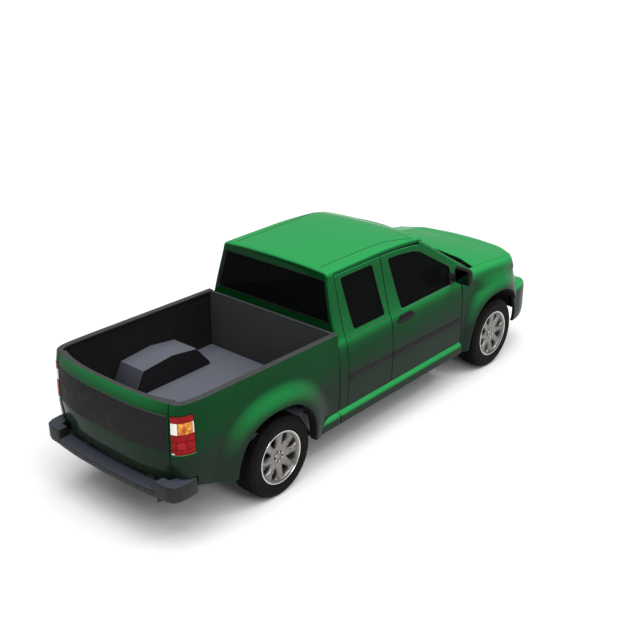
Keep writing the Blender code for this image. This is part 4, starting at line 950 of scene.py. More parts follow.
@dataclass
class Bed:
    """Cargo bed: sides, floor, rails, lamps' housings and fuel door."""

    half: float = 0.790
    deep: float = 0.0477
    lamp_y: float = 2.345
    lamp: tuple[float, float] = (0.8147, 1.1353)
    path: Path = field(default_factory=lambda: Path(
        ((0.790, 0.706), (0.790, 0.900), (0.790, 1.150), (0.790, 1.451), (0.790, 1.750),
         (0.790, 2.020), (0.789, 2.120), (0.787, 2.240), (0.779, 2.345), (0.762, 2.410),
         (0.735, 2.456), (0.700, 2.482), (0.6555, 2.493))))

    def way(self, y: float) -> float:
        """Way along the bed's plan path at a length."""
        return self.path.by_y(y)

    def surface(self, way: float, z: float, offset: float = 0.0) -> Point:
        """Outer face of the bed side, moved outwards by an offset.

        Args:
            way: way along the plan path.
            z: height.
            offset: way outwards from the outer face.

        Returns:
            The point.
        """
        x, y, nx, ny = self.path.frame(way)
        rear = ny * ny
        out = (LINES.bed(z) - self.half) * (1 - rear) + LINES.rear_inset(z) * rear
        out += LINES.flare(y, z) * (1 - rear) + offset
        return x + nx * out, y + ny * out, z

    def wall(self, way: float, z: float, sink: float = 0.0) -> Point:
        """Inner face of the bed side, moved inwards by sink.

        Args:
            way: way along the plan path.
            z: height.
            sink: way inwards from the outer face.

        Returns:
            The point.
        """
        x, y, nx, ny = self.path.frame(way)
        deep = self.deep - LINES.rear_inset(z) * ny * ny + sink
        return x - nx * deep, y - ny * deep, z

    def side(self, side: Side) -> None:
        """Build one bed side with its rail cap, sill and dark inner wall.

        Args:
            side: side of the truck.
        """
        end = self.path.length
        arch = [(self.way(y), z) for y, z in reversed(LINES.arch(LINES.rear_arch_y))
                if y < 1.94 or z > 0.41]
        outline = [(0.0, 0.345), (self.way(1.036), 0.345), *arch, (self.way(2.02), 0.412),
                   (self.way(2.334), 0.517), (self.way(2.337), 0.6075), (end, 0.6075)]
        outline += [(w, LINES.bed_top(self.path.y(w))) for w in np.linspace(end, 0.0, 60)]
        holes = [oblong((self.way(self.lamp_y), self.lamp[0]), (end - 0.012, self.lamp[1]), 0.008)]
        if side is Side.LEFT:
            holes.append([(self.way(y), z) for y, z in oblong((0.790, 0.975), (0.930, 1.115), 0.016)])
        made = panel(outline, self.surface, self.wall, holes, 0.020, 0.004)
        piece = Piece(f"bed_side_{side.word}", "body", [f"bedside_{side.word}"], "paint")
        piece.put_panel(made, PAINT, LINER)
        piece.put(self.cap(), RAIL).put(self.ledge(), PAINT).put(self.lamp_box(), BLACK)
        piece.put(self.arch_lip(), SEAL)
        for hole in holes:
            piece.put(layer(inset(hole, -0.004), self.wall, 0.0012, -0.0012, 0.04, 0.0005), LINER)
        if side is Side.LEFT:
            piece.put(self.fuel_pocket(), BLACK)
        piece.build(mirror=side)

    def cap(self) -> Mesh:
        """Thin moulded cap along the top of the bed side.

        Returns:
            The cap.
        """
        section = ((-0.004, -0.012), (0.0005, -0.008), (0.0005, 0.0), (-0.003, 0.0035),
                   (-0.044, 0.0035), (-0.0487, 0.0), (-0.0487, -0.010), (-0.045, -0.010))
        rings = []
        for way in np.linspace(0.001, self.path.length - 0.001, 90):
            _, y, nx, ny = self.path.frame(way)
            z = LINES.bed_top(y)
            base = self.surface(way, z)
            rings.append([(base[0] + nx * out, base[1] + ny * out, z + up) for out, up in section])
        return loft(rings)

    def ledge(self) -> Mesh:
        """Sill ledge below the bed side, ahead of the wheel."""
        return sill_rail(LINES.bed_front_y, 1.030, 0.012)

    def lamp_box(self) -> Mesh:
        """Dark housing behind the tail lamp.

        Returns:
            The housing.
        """
        ways = np.linspace(self.way(self.lamp_y) + 0.001, self.path.length - 0.0125, 12)
        zs = (self.lamp[0] + 0.0005, 0.9, 1.0, 1.06, self.lamp[1] - 0.0005)
        return sheet(self.surface, ways, zs, -0.020, -0.030)

    def arch_lip(self) -> Mesh:
        """Rolled edge inside the wheel arch.

        Returns:
            The lip.
        """
        path = []
        for y, z in LINES.arch(LINES.rear_arch_y, 0.001, 60):
            if z > 0.42:
                path.append((LINES.bed(z) + LINES.flare(y, z) - 0.018, y, z))
        return tube(path, 0.006, 8)

    def fuel_pocket(self) -> Mesh:
        """Dark plate and cap behind the fuel door.

        Returns:
            The plate with its cap.
        """
        plate = block((0.748, 0.7905, 0.9755), (0.7545, 0.9295, 1.1145))
        cap = lathe([(0.0, 0.0), (0.030, 0.0), (0.033, 0.003), (0.033, 0.010), (0.012, 0.011),
                     (0.010, 0.017), (0.0, 0.018)], 24, False)
        return plate.add(cap.placed(lambda p: (p[0] + 0.753, p[1] + 0.860, p[2] + 1.045)))

    def fuel_door(self) -> None:
        """Small hinged door over the fuel cap."""
        outline = oblong((0.7955, 0.9805), (0.9245, 1.1095), 0.014)
        made = layer([(self.way(y), z) for y, z in outline], self.surface, 0.0, -0.008, 0.012, 0.002)
        Piece("fuel_flap", "fuel_door", ["fuel_door"], "paint").put_panel(made, PAINT, JAMB).build()

    def floor(self) -> None:
        """Ribbed bed floor with wheelhouses, front wall and cross sills."""
        wide, end = LINES.bed_inner_x - 0.0005, 2.412
        front, top = LINES.bed_front_y, 0.658
        piece = Piece("bed_floor_lined", "body", ["bed_floor"], "liner")
        plan = [(wide, front), (wide, 1.980), (0.739, 2.120), (0.736, 2.240), (0.726, 2.330),
                (0.708, end - 0.030), (0.480, end)]
        plan += [(-x, y) for x, y in reversed(plan)]
        piece.put(prism(plan, 0.640, top - 0.0035, "z"), LINER)
        piece.put(prism(plan, 0.626, 0.640, "z"), STEEL)
        piece.put(block((-wide, front, 0.560), (wide, front + 0.028, 1.190)), WALL)
        piece.put(block((-wide, front - 0.0005, 1.186), (wide, front + 0.0295, 1.199), 0.003), RAIL)
        house = [(1.020, 0.560), (1.035, 0.680), (1.190, 0.862), (1.470, 0.902), (1.800, 0.872),
                 (1.890, 0.711), (1.920, 0.560)]
        room = [(1.038, 0.560), (1.052, 0.672), (1.200, 0.846), (1.472, 0.884), (1.790, 0.855),
                (1.874, 0.704), (1.902, 0.560)]
        for side in Side:
            arch = house + list(reversed(room))
            shell = prism(arch, 0.464, wide, edge=0.001)
            web = prism(rounded(house, 0.010, 3), 0.450, 0.466, edge=0.004)
            piece.put([shell.on(side), web.on(side)], LINER)
            less = inset(room, 0.003)
            skin = prism(room + list(reversed(less)), 0.470, wide - 0.002, edge=0.0005)
            cover = prism(rounded(inset(house, 0.004), 0.01, 3), 0.4665, 0.4695, edge=0.001)
            piece.put([skin.on(side), cover.on(side)], BLACK)
        for y, low, reach in ((0.800, 0.4703, 0.430), (1.100, 0.6003, 0.440),
                              (1.900, 0.6003, 0.440), (2.330, 0.5603, 0.640)):
            piece.put(block((-reach, y - 0.030, low), (reach, y + 0.030, 0.640)), STEEL)
        piece.build()
        bars = []
        for k in range(11):
            x = -0.40 + 0.08 * k
            bars.append((x, front + 0.034, 2.400))
        for k in range(4):
            for s in (-1, 1):
                x = s * (0.49 + 0.07 * k)
                bars.append((x, front + 0.034, 1.008))
                bars.append((x, 1.932, 2.372 if k < 3 else 2.33))
        rib = prism([(-0.5, 0.0), (0.5, 0.0), (0.5, 1.0), (-0.5, 1.0)], -0.5, 0.5, "z", 0.16)
        spots = [Spot((x, (a + b) / 2, top - 0.0028), (0.0, 0.0, 0.0), (0.085, b - a, 0.0020))
                 for x, a, b in bars]
        rib = rib.placed(lambda p: (p[0], p[1] - 0.5, p[2] + 0.1))
        Repeat("bed_ribs", rib, spots, LINER).build("body")


def sill_rail(start: float, end: float, taper: float) -> Mesh:
    """Rounded ledge along the foot of the body side.

    Args:
        start: front end.
        end: rear end.
        taper: length of its drawn-in ends.

    Returns:
        The ledge on the left.
    """
    section = ((0.755, 0.346), (0.780, 0.346), (0.800, 0.351), (0.808, 0.360), (0.811, 0.380),
               (0.812, 0.410), (0.811, 0.428), (0.806, 0.440), (0.797, 0.451), (0.786, 0.460),
               (0.777, 0.468), (0.755, 0.470))
    rings = []
    for y in (start, start + taper, *np.linspace(start + 2 * taper, end - 2 * taper, 8),
              end - taper, end):
        near = min(y - start, end - y)
        pull = 1.0 if near > 1e-6 else 0.90
        rings.append([(0.755 + (x - 0.755) * pull, y, 0.40 + (z - 0.40) * (0.96 + 0.04 * (pull > 0.95)))
                      for x, z in section])
    return loft(rings)


# ---- repeated small parts ---------------------------------------------------
@dataclass(frozen=True)
class Spot:
    """Where one repeated part stands, how it is turned and its size."""

    at: Point
    turn: Point = (0.0, 0.0, 0.0)
    size: Point = (1.0, 1.0, 1.0)


@dataclass
class Repeat:
    """Copies of one small part at many spots, made by a node tree."""

    name: str
    part: Mesh
    spots: Sequence[Spot]
    finish: Finish

    def tree(self) -> bpy.types.GeometryNodeTree:
        """Tree that puts the part on each point by its turn and size.

        Returns:
            The node tree.
        """
        tree = bpy.data.node_groups.new(self.name + "_tree", "GeometryNodeTree")
        face = tree.interface
        face.new_socket("Geometry", in_out="INPUT", socket_type="NodeSocketGeometry")
        face.new_socket("Part", in_out="INPUT", socket_type="NodeSocketObject")
        face.new_socket("Size", in_out="INPUT", socket_type="NodeSocketFloat").default_value = 1.0
        face.new_socket("Geometry", in_out="OUTPUT", socket_type="NodeSocketGeometry")

        def add(kind: str) -> bpy.types.Node:
            """Add a node."""
            return tree.nodes.new(kind)
        start, end = add("NodeGroupInput"), add("NodeGroupOutput")
        info, copies = add("GeometryNodeObjectInfo"), add("GeometryNodeInstanceOnPoints")
        turn, size = add("GeometryNodeInputNamedAttribute"), add("GeometryNodeInputNamedAttribute")
        turn.data_type = size.data_type = "FLOAT_VECTOR"
        turn.inputs["Name"].default_value = "turn"
        size.inputs["Name"].default_value = "size"
        scale, real, dress = add("ShaderNodeVectorMath"), add("GeometryNodeRealizeInstances"), add(
            "GeometryNodeSetMaterial")
        scale.operation = "SCALE"
        dress.inputs["Material"].default_value = self.finish.material()
        for one, two in ((start.outputs["Geometry"], copies.inputs["Points"]),
                         (start.outputs["Part"], info.inputs["Object"]),
                         (info.outputs["Geometry"], copies.inputs["Instance"]),
                         (turn.outputs["Attribute"], copies.inputs["Rotation"]),
                         (size.outputs["Attribute"], scale.inputs[0]),
                         (start.outputs["Size"], scale.inputs["Scale"]),
                         (scale.outputs[0], copies.inputs["Scale"]),
                         (copies.outputs["Instances"], real.inputs["Geometry"]),
                         (real.outputs["Geometry"], dress.inputs["Geometry"]),
                         (dress.outputs["Geometry"], end.inputs["Geometry"])):
            tree.links.new(one, two)
        return tree

    def build(self, body: str) -> bpy.types.Object:
        """Make the copies as one plain mesh that rides on a body.

        Args:
            body: body that the copies ride on.

        Returns:
            The plain mesh object.
        """
        source = added(self.name + "_part", plain_mesh(self.name, self.part, 30.0))
        points = bpy.data.meshes.new(self.name + "_spots")
        points.from_pydata([s.at for s in self.spots], [], [])
        for label, values in (("turn", [s.turn for s in self.spots]),
                              ("size", [s.size for s in self.spots])):
            points.attributes.new(label, "FLOAT_VECTOR", "POINT").data.foreach_set(
                "vector", np.array(values, np.float32).ravel())
        item = added(self.name + "_base", points)
        change = item.modifiers.new("copies", "NODES")
        change.node_group = self.tree()
        for socket in change.node_group.interface.items_tree:
            if socket.item_type == "SOCKET" and socket.name == "Part":
                change[socket.identifier] = source
        bpy.context.view_layer.update()
        graph = bpy.context.evaluated_depsgraph_get()
        data = bpy.data.meshes.new_from_object(item.evaluated_get(graph))
        data.name = self.name
        bpy.data.objects.remove(item)
        bpy.data.objects.remove(source)
        done = added(self.name, data)
        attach(done, body)
        LOG.info("%s: %d copies on %s", self.name, len(self.spots), body)
        return done


def plain_mesh(name: str, mesh: Mesh, angle: float) -> bpy.types.Mesh:
    """Mesh data with outward faces, shaded by angle.

    Args:
        name: name of the mesh data.
        mesh: points and faces.
        angle: edges sharper than this stay sharp.

    Returns:
        The mesh data.
    """
    work = bmesh.new()
    verts = [work.verts.new(p) for p in mesh.points]
    for face in mesh.faces:
        work.faces.new([verts[v] for v in face])
    bmesh.ops.remove_doubles(work, verts=work.verts, dist=1e-6)
    return shaded(work, name, angle)


# ---- tailgate, rear bumper and lamps ----------------------------------------
@dataclass
class Tailgate:
    """Tailgate with its sunk dark panel and top cap."""

    half: float = 0.645
    low: float = 0.545
    high: float = 1.225
    sunk: tuple[float, float] = (0.826, 1.123)
    middle: Curve = Curve((0.54, 2.518), (0.60, 2.545), (0.70, 2.568), (0.83, 2.578),
                          (1.0, 2.570), (1.123, 2.552), (1.19, 2.535), (1.225, 2.522))
    edge: Curve = Curve((0.54, 2.447), (0.60, 2.463), (0.70, 2.480), (0.83, 2.493),
                        (1.123, 2.485), (1.225, 2.468))

    def face(self, x: float, z: float) -> Point:
        """Outer face."""
        y = self.middle(z) + (self.edge(z) - self.middle(z)) * (abs(x) / self.half) ** 3
        return x, y, z

    def back(self, x: float, z: float) -> Point:
        """Inner face.

        Args:
            x: place across the truck.
            z: height.

        Returns:
            The point.
        """
        deep = Curve((self.low, 0.025), (0.60, 0.045), (0.70, 0.090))(z)
        base = self.face(x, z if z < 0.60 else 0.83)[1]
        return x, base - deep, z

    def build(self) -> None:
        """Build the tailgate."""
        h = self.half
        outline = oblong((-h, self.low), (h, self.high), 0.010)
        low, high = self.sunk
        hole = oblong((-0.633, low), (0.633, high), 0.012)
        skin, back = panel(outline, self.face, self.back, (), 0.022, 0.004)
        piece = Piece("tailgate_panel", "tailgate", ["tailgate"], "paint")
        piece.put(skin, PAINT).put(back, LINER)

        def lifted(x: float, z: float) -> Point:
            """Face of the dark panel."""
            point = self.face(x, z)
            return x, point[1] + 0.0022, z
        piece.put(panel(hole, lifted, lambda x, z: (x, self.face(x, z)[1] - 0.002, z), (),
                        0.022, 0.0015), TRIM)
        rows = []
        for x in np.linspace(-h, h, 70):
            _, y, z = self.face(x, self.high)
            inner = self.back(x, self.high)[1]
            rows.append([(x, y - 0.004, z - 0.012), (x, y + 0.0005, z - 0.009), (x, y, z),
                         (x, y - 0.005, z + 0.0035), (x, inner + 0.004, z + 0.0035),
                         (x, inner - 0.0005, z), (x, inner - 0.0005, z - 0.010),
                         (x, inner + 0.004, z - 0.011)])
        piece.put(loft(rows), RAIL)
        line = [(x, self.face(x, high + 0.002)[1] + 0.001, high + 0.002)
                for x in np.linspace(-0.635, 0.635, 60)]
        piece.put(tube(line, 0.0035, 8), RAIL)
        piece.build()


@dataclass
class RearBumper:
    """Step bumper with raised end pads and ribbed treads."""

    rows: Curve = Curve((0.0, 2.628), (0.35, 2.618), (0.588, 2.596))

    def build(self) -> None:
        """Build the bumper, its pads and brackets."""
        piece = Piece("step_bumper", "body", ["rear_bumper"], "dark_plastic")
        rings = []
        section = ((-0.118, 0.446), (-0.110, 0.441), (-0.028, 0.441), (-0.012, 0.446),
                   (-0.003, 0.456), (0.0, 0.470), (0.0, 0.505), (-0.003, 0.514), (-0.010, 0.519),
                   (-0.110, 0.519), (-0.118, 0.512))
        for x in np.linspace(-0.588, 0.588, 61):
            y = self.rows(abs(x))
            rings.append([(x, y + out, z) for out, z in section])
        piece.put(loft(rings), BUMPER)
        for side in Side:
            plan = [(0.580, 2.510), (0.650, 2.508), (0.700, 2.350), (0.782, 2.350), (0.790, 2.430),
                    (0.782, 2.520), (0.755, 2.575), (0.700, 2.597), (0.600, 2.602), (0.580, 2.596)]
            small = rounded(plan, 0.008, 3)
            rings = []
            for z, pull in ((0.462, 0.009), (0.470, 0.003), (0.482, 0.0), (0.588, 0.0),
                            (0.596, 0.002), (0.600, 0.006)):
                rings.append([(x, y, z) for x, y in inset(small, pull)])
            piece.put(loft(rings).on(side), BUMPER)
            piece.put(block((0.365, 2.4055, 0.450), (0.425, 2.520, 0.510)).on(side), STEEL)
            piece.put(block((0.580, 2.400, 0.466), (0.700, 2.520, 0.500)).on(side), STEEL)
        piece.put(block((-0.590, 2.500, 0.405), (-0.560, 2.575, 0.470)), BUMPER)
        piece.put(block((-0.575, 2.425, 0.496), (0.575, 2.4995, 0.502), 0.002), BLACK)
        piece.build()
        rib = block((-0.5, -0.5, -0.5), (0.5, 0.5, 0.5), 0.12)
        spots = []
        for k in range(5):
            for x in np.linspace(-0.52, 0.52, 14):
                turn = math.atan2(self.rows(abs(x) + 0.01) - self.rows(abs(x)), 0.01)
                spots.append(Spot((x, self.rows(abs(x)) - 0.020 - 0.017 * k, 0.519),
                                  (0.0, 0.0, math.copysign(turn, x)), (0.060, 0.006, 0.003)))
        Repeat("bumper_treads", rib, spots, BUMPER).build("body")


@dataclass
class TailLamp:
    """Tail lamp with red, amber and clear segments round the rear corner."""

    bed: Bed

    def build(self, side: Side) -> None:
        """Build one lamp.

        Args:
            side: side of the truck.
        """
        start, end = self.bed.way(self.bed.lamp_y) + 0.0025, self.bed.path.length - 0.0145
        corner = start + (end - start) * 0.70
        gap = 0.0012
        cells = (((start, end), (1.082, 1.1325), RED), ((start, start + 0.012), (0.985, 1.080), PALE),
                 ((start + 0.012, corner), (0.985, 1.080), AMBER),
                 ((corner, end), (0.985, 1.080), PALE),
                 ((start, end), (0.925, 0.983), RED),
                 ((start + 0.075, end - 0.050), (0.862, 0.923), HOT),
                 ((start, start + 0.075), (0.862, 0.923), RED),
                 ((end - 0.050, end), (0.862, 0.923), RED),
                 ((start, end), (0.832, 0.860), RED), ((end - 0.030, end), (0.8175, 0.830), PALE),
                 ((start, end - 0.030), (0.8175, 0.830), RED))
        piece = Piece(f"rear_lamp_{side.word}", "body", [f"tail_lamp_{side.word}"], "red_lens")
        for (a, b), (low, high), finish in cells:
            outline = oblong((a + gap, low + gap), (b - gap, high - gap), 0.004, 3)
            piece.put(layer(outline, self.bed.surface, 0.003, -0.006, 0.011, 0.0018), finish)
        ways = np.linspace(start - 0.001, end + 0.001, 16)
        zs = (0.8165, 0.9, 1.0, 1.06, 1.1335)
        piece.put(sheet(self.bed.surface, ways, zs, -0.0062, -0.016), BLACK)
        piece.build(mirror=side)


# ---- doors and glass --------------------------------------------------------
FRONT_WINDOW = ((-1.030, 1.118), (-0.225, 1.118), (-0.150, 1.590), (-0.350, 1.578),
                (-0.520, 1.558), (-0.620, 1.528), (-1.030, 1.275))
REAR_WINDOW = ((0.015, 1.140), (0.445, 1.142), (0.505, 1.600), (0.075, 1.600))


@dataclass
class Door:
    """A door with its skin, inner trim, window seal, handle and moulding."""

    front: bool
    low: float = 0.458
    moulding: tuple[float, float] = (0.684, 0.742)
    thick: Curve = Curve((1.03, 0.085), (1.12, 0.050), (1.16, 0.038))

    @property
    def word(self) -> str:
        """Name of the door as the nodes spell it."""
        return "front" if self.front else "rear"

    @property
    def ends(self) -> tuple[float, float]:
        """Front and rear edge of the door.

        Returns:
            The two lengths.
        """
        split = LINES.seam / 2
        if self.front:
            return LINES.door_front_y, LINES.door_split_y - split
        return LINES.door_split_y + split, LINES.door_rear_y

    def outline(self) -> list[Flat]:
        """Edge of the door, with the slope of the windshield pillar.

        Returns:
            Points of (y, z).
        """
        start, end = self.ends
        if self.front:
            top = [(-0.10, 1.636), (-0.30, 1.630), (-0.50, 1.612)]
            top += [(y, 1.612 + 0.640 * (y + 0.676) - 0.054) for y in (-0.62, -1.0, start)]
            return rounded([(start, self.low), (end, self.low), (end, 1.637), *top], 0.012, 3)
        return oblong((start, self.low), (end, 1.640), 0.014, 3)

    def window(self) -> list[Flat]:
        """Edge of the window opening."""
        return rounded(FRONT_WINDOW if self.front else REAR_WINDOW, 0.026, 4)

    def lining(self, y: float, z: float, off: float) -> Point:
        """Inner side of the door, moved inwards by an offset."""
        return LINES.cab(z) - self.thick(z) - off, y, z

    def back(self, y: float, z: float) -> Point:
        """Inner face, drawn in at the free edge so that the door can swing.

        Args:
            y: length along the truck.
            z: height.

        Returns:
            The point.
        """
        start, end = self.ends
        pull = 0.026 if z < 1.10 else 0.012
        free = end if self.front else start
        near = max(0.0, 1.0 - abs(y - free) / 0.12)
        return LINES.cab(z) - self.thick(z), y + (-pull if self.front else pull) * near, z

    def build(self, side: Side) -> None:
        """Build the door and its glass on one side.

        Args:
            side: side of the truck.
        """
        body = f"{self.word}_door_{side.word}"
        window = self.window()
        made = panel(self.outline(), LINES.side, self.back, (window,), 0.024, 0.003)
        piece = Piece(f"{self.word}_door_panel_{side.word}", body, [body], "paint")
        piece.put_panel(made, PAINT, JAMB)
        seal = [(LINES.cab(z) - 0.006, y, z) for y, z in resampled(inset(window, -0.001), 0.03)]
        piece.put(tube(seal, 0.0055, 8, True), SEAL)
        bright = [(LINES.cab(z) + 0.0008, y, z) for y, z in self.sill_line()]
        piece.put(tube(bright, 0.0028, 8), RAIL)
        piece.put(self.strip(), BLACK).put(self.card(), VINYL).put(self.rest(), TRIM)
        piece.put(self.handle(), TRIM)
        if not self.front:
            piece.put(self.flap(), SEAL)
        piece.build(mirror=side)
        glass = Piece(f"{self.word}_door_glass_{side.word}", body,
                      [f"{self.word}_glass_{side.word}"], "glass")
        pane = layer(inset(window, 0.001), LINES.side, -0.012, -0.0165, 0.05, 0.001)
        glass.put(pane, GLASS).build(mirror=side)

    def flap(self) -> tuple[Mesh, Mesh]:
        """Rubber flap that closes the seam behind the front door.

        Returns:
            The flap's two skins.
        """
        start = self.ends[0]
        strip = [(start - 0.022, 0.500), (start + 0.030, 0.500), (start + 0.030, 1.610),
                 (start - 0.022, 1.610)]
        return layer(strip, self.lining, 0.0058, 0.0085, 0.04, 0.0008)

    def sill_line(self) -> list[Flat]:
        """Trim line under the window.

        Returns:
            Points of (y, z).
        """
        start, end = self.ends
        first = -1.04 if self.front else start + 0.012
        return [(y, 1.108) for y in np.linspace(first, end - 0.012, 24)]

    def strip(self) -> Mesh:
        """Side moulding with rounded edges and tapered ends.

        Returns:
            The moulding.
        """
        start, end = self.ends
        if self.front:
            start = -1.130
        low, high = self.moulding
        rows = []
        for y in (start + 0.004, start + 0.009, *np.linspace(start + 0.02, end - 0.014, 14),
                  end - 0.007, end - 0.004):
            rise = 0.018 * (y + 1.13)
            near = min(y - start, end - y)
            lift = 0.0008 if near < 0.0065 else 0.0065
            if near > 0.012:
                lift = 0.0085
            row = []
            for z, out in ((low, 0.0), (low + 0.006, 0.8), (low + 0.012, 1.0), (high - 0.024, 1.0),
                           (high - 0.019, 0.75), (high - 0.014, 1.0), (high - 0.006, 0.8), (high, 0.0)):
                row.append((LINES.cab(z + rise) + 0.0002 + lift * out, y, z + rise))
            row += [(LINES.cab(z + rise) - 0.0015, y, z + rise) for z in (high, low)]
            rows.append(row)
        return loft(rows)

    def card(self) -> list[Mesh]:
        """Inner trim card with raised armrest panel.

        Returns:
            The card's skins.
        """
        start, end = self.ends
        outline = oblong((start + 0.04, 0.50), (end - 0.04, 1.085), 0.05, 5)
        small = oblong((start + 0.09, 0.86), (end - 0.09, 1.03), 0.04, 5)
        base = layer(outline, self.lining, 0.006, -0.002, 0.05, 0.003)
        pad = layer(small, self.lining, 0.011, 0.003, 0.05, 0.004)
        return [*base, *pad]

    def rest(self) -> Mesh:
        """Armrest, or pull handle on the narrow rear door.

        Returns:
            The armrest.
        """
        start, end = self.ends
        a, b = (start + 0.30, end - 0.18) if self.front else (start + 0.16, end - 0.16)
        rings = []
        for y, grow in ((a, 0.6), (a + 0.02, 0.95), ((a + b) / 2, 1.0), (b - 0.02, 0.95), (b, 0.6)):
            x = LINES.cab(0.80) - self.thick(0.80)
            rings.append([(x + 0.004, y, 0.805), (x - 0.020 * grow, y, 0.803),
                          (x - 0.034 * grow, y, 0.815), (x - 0.036 * grow, y, 0.832),
                          (x - 0.028 * grow, y, 0.842), (x + 0.004, y, 0.845)])
        return loft(rings)

    def handle(self) -> list[Mesh]:
        """Outside pull in its dished cup; the rear door has a small edge latch.

        Returns:
            The parts of the handle or latch.
        """
        if not self.front:
            return [block((0.700, self.ends[0] + 0.005, 0.90), (0.716, self.ends[0] + 0.022, 0.98))]
        cup = oblong((-0.365, 0.997), (-0.145, 1.076), 0.036, 6)
        plate = layer(cup, LINES.side, 0.0012, -0.002, 0.02, 0.001)
        z = 1.032
        x = LINES.cab(z)
        rings = []
        for y, out, tall in ((-0.392, 0.004, 0.007), (-0.382, 0.012, 0.011), (-0.34, 0.019, 0.013),
                             (-0.25, 0.021, 0.013), (-0.16, 0.019, 0.013), (-0.122, 0.012, 0.011),
                             (-0.112, 0.004, 0.007)):
            rings.append([(x + out * 0.35, y, z - tall), (x + out, y, z - tall * 0.75),
                          (x + out * 1.05, y, z), (x + out, y, z + tall * 0.75),
                          (x + out * 0.35, y, z + tall), (x - 0.002, y, z)])
        return [*plate, loft(rings)]


@dataclass
class Mirror:
    """Door mirror: sail plate, arm, housing and glass."""

    inner_x: float = 0.80

    def rear(self, x: float, z: float, off: float) -> Point:
        """Rear face of the housing, moved back by an offset."""
        return x, -0.972 + (x - self.inner_x) * 0.03 + (z - 1.153) * 0.0465 + off, z

    def build(self, side: Side) -> None:
        """Build one mirror.

        Args:
            side: side of the truck.
        """
        piece = Piece(f"door_mirror_{side.word}", f"front_door_{side.word}",
                      [f"mirror_{side.word}"], "dark_plastic")
        sail = rounded([(-1.105, 1.126), (-0.985, 1.126), (-1.000, 1.225), (-1.080, 1.205)], 0.012)
        piece.put(layer(sail, LINES.side, 0.009, 0.0004, 0.03, 0.002), TRIM)
        low, high = LINES.cab(1.150) + 0.004, LINES.cab(1.190) + 0.004
        start = oblong((-1.060, 1.150), (-1.010, 1.190), 0.008, 3)
        end = oblong((-1.050, 1.170), (-1.010, 1.210), 0.008, 3)
        piece.put(loft([[(low + (high - low) * (z - 1.15) / 0.04, y, z) for y, z in start],
                        [(0.850, y, z) for y, z in end]]), TRIM)
        rings = []
        for x, shrink in ((0.802, 0.022), (0.805, 0.011), (0.815, 0.004), (0.840, 0.001),
                          (0.880, 0.0), (0.930, 0.001), (0.960, 0.004), (0.976, 0.011),
                          (0.9815, 0.022)):
            lean = (x - self.inner_x) * 0.10
            shape = [(-1.055 + lean + shrink, 1.165 + shrink), (-0.972 + lean * 0.3, 1.153 + shrink),
                     (-0.964 + lean * 0.3, 1.325 - shrink), (-1.035 + lean + shrink, 1.318 - shrink)]
            rings.append([(x, y, z) for y, z in rounded(shape, 0.024, 5)])
        piece.put(loft(rings), TRIM)
        face = rounded([(0.818, 1.170), (0.966, 1.172), (0.966, 1.308), (0.818, 1.308)], 0.02, 4)
        piece.put(layer(face, self.rear, 0.0022, -0.002, 0.05, 0.001), MIRROR)
        piece.build(mirror=side)


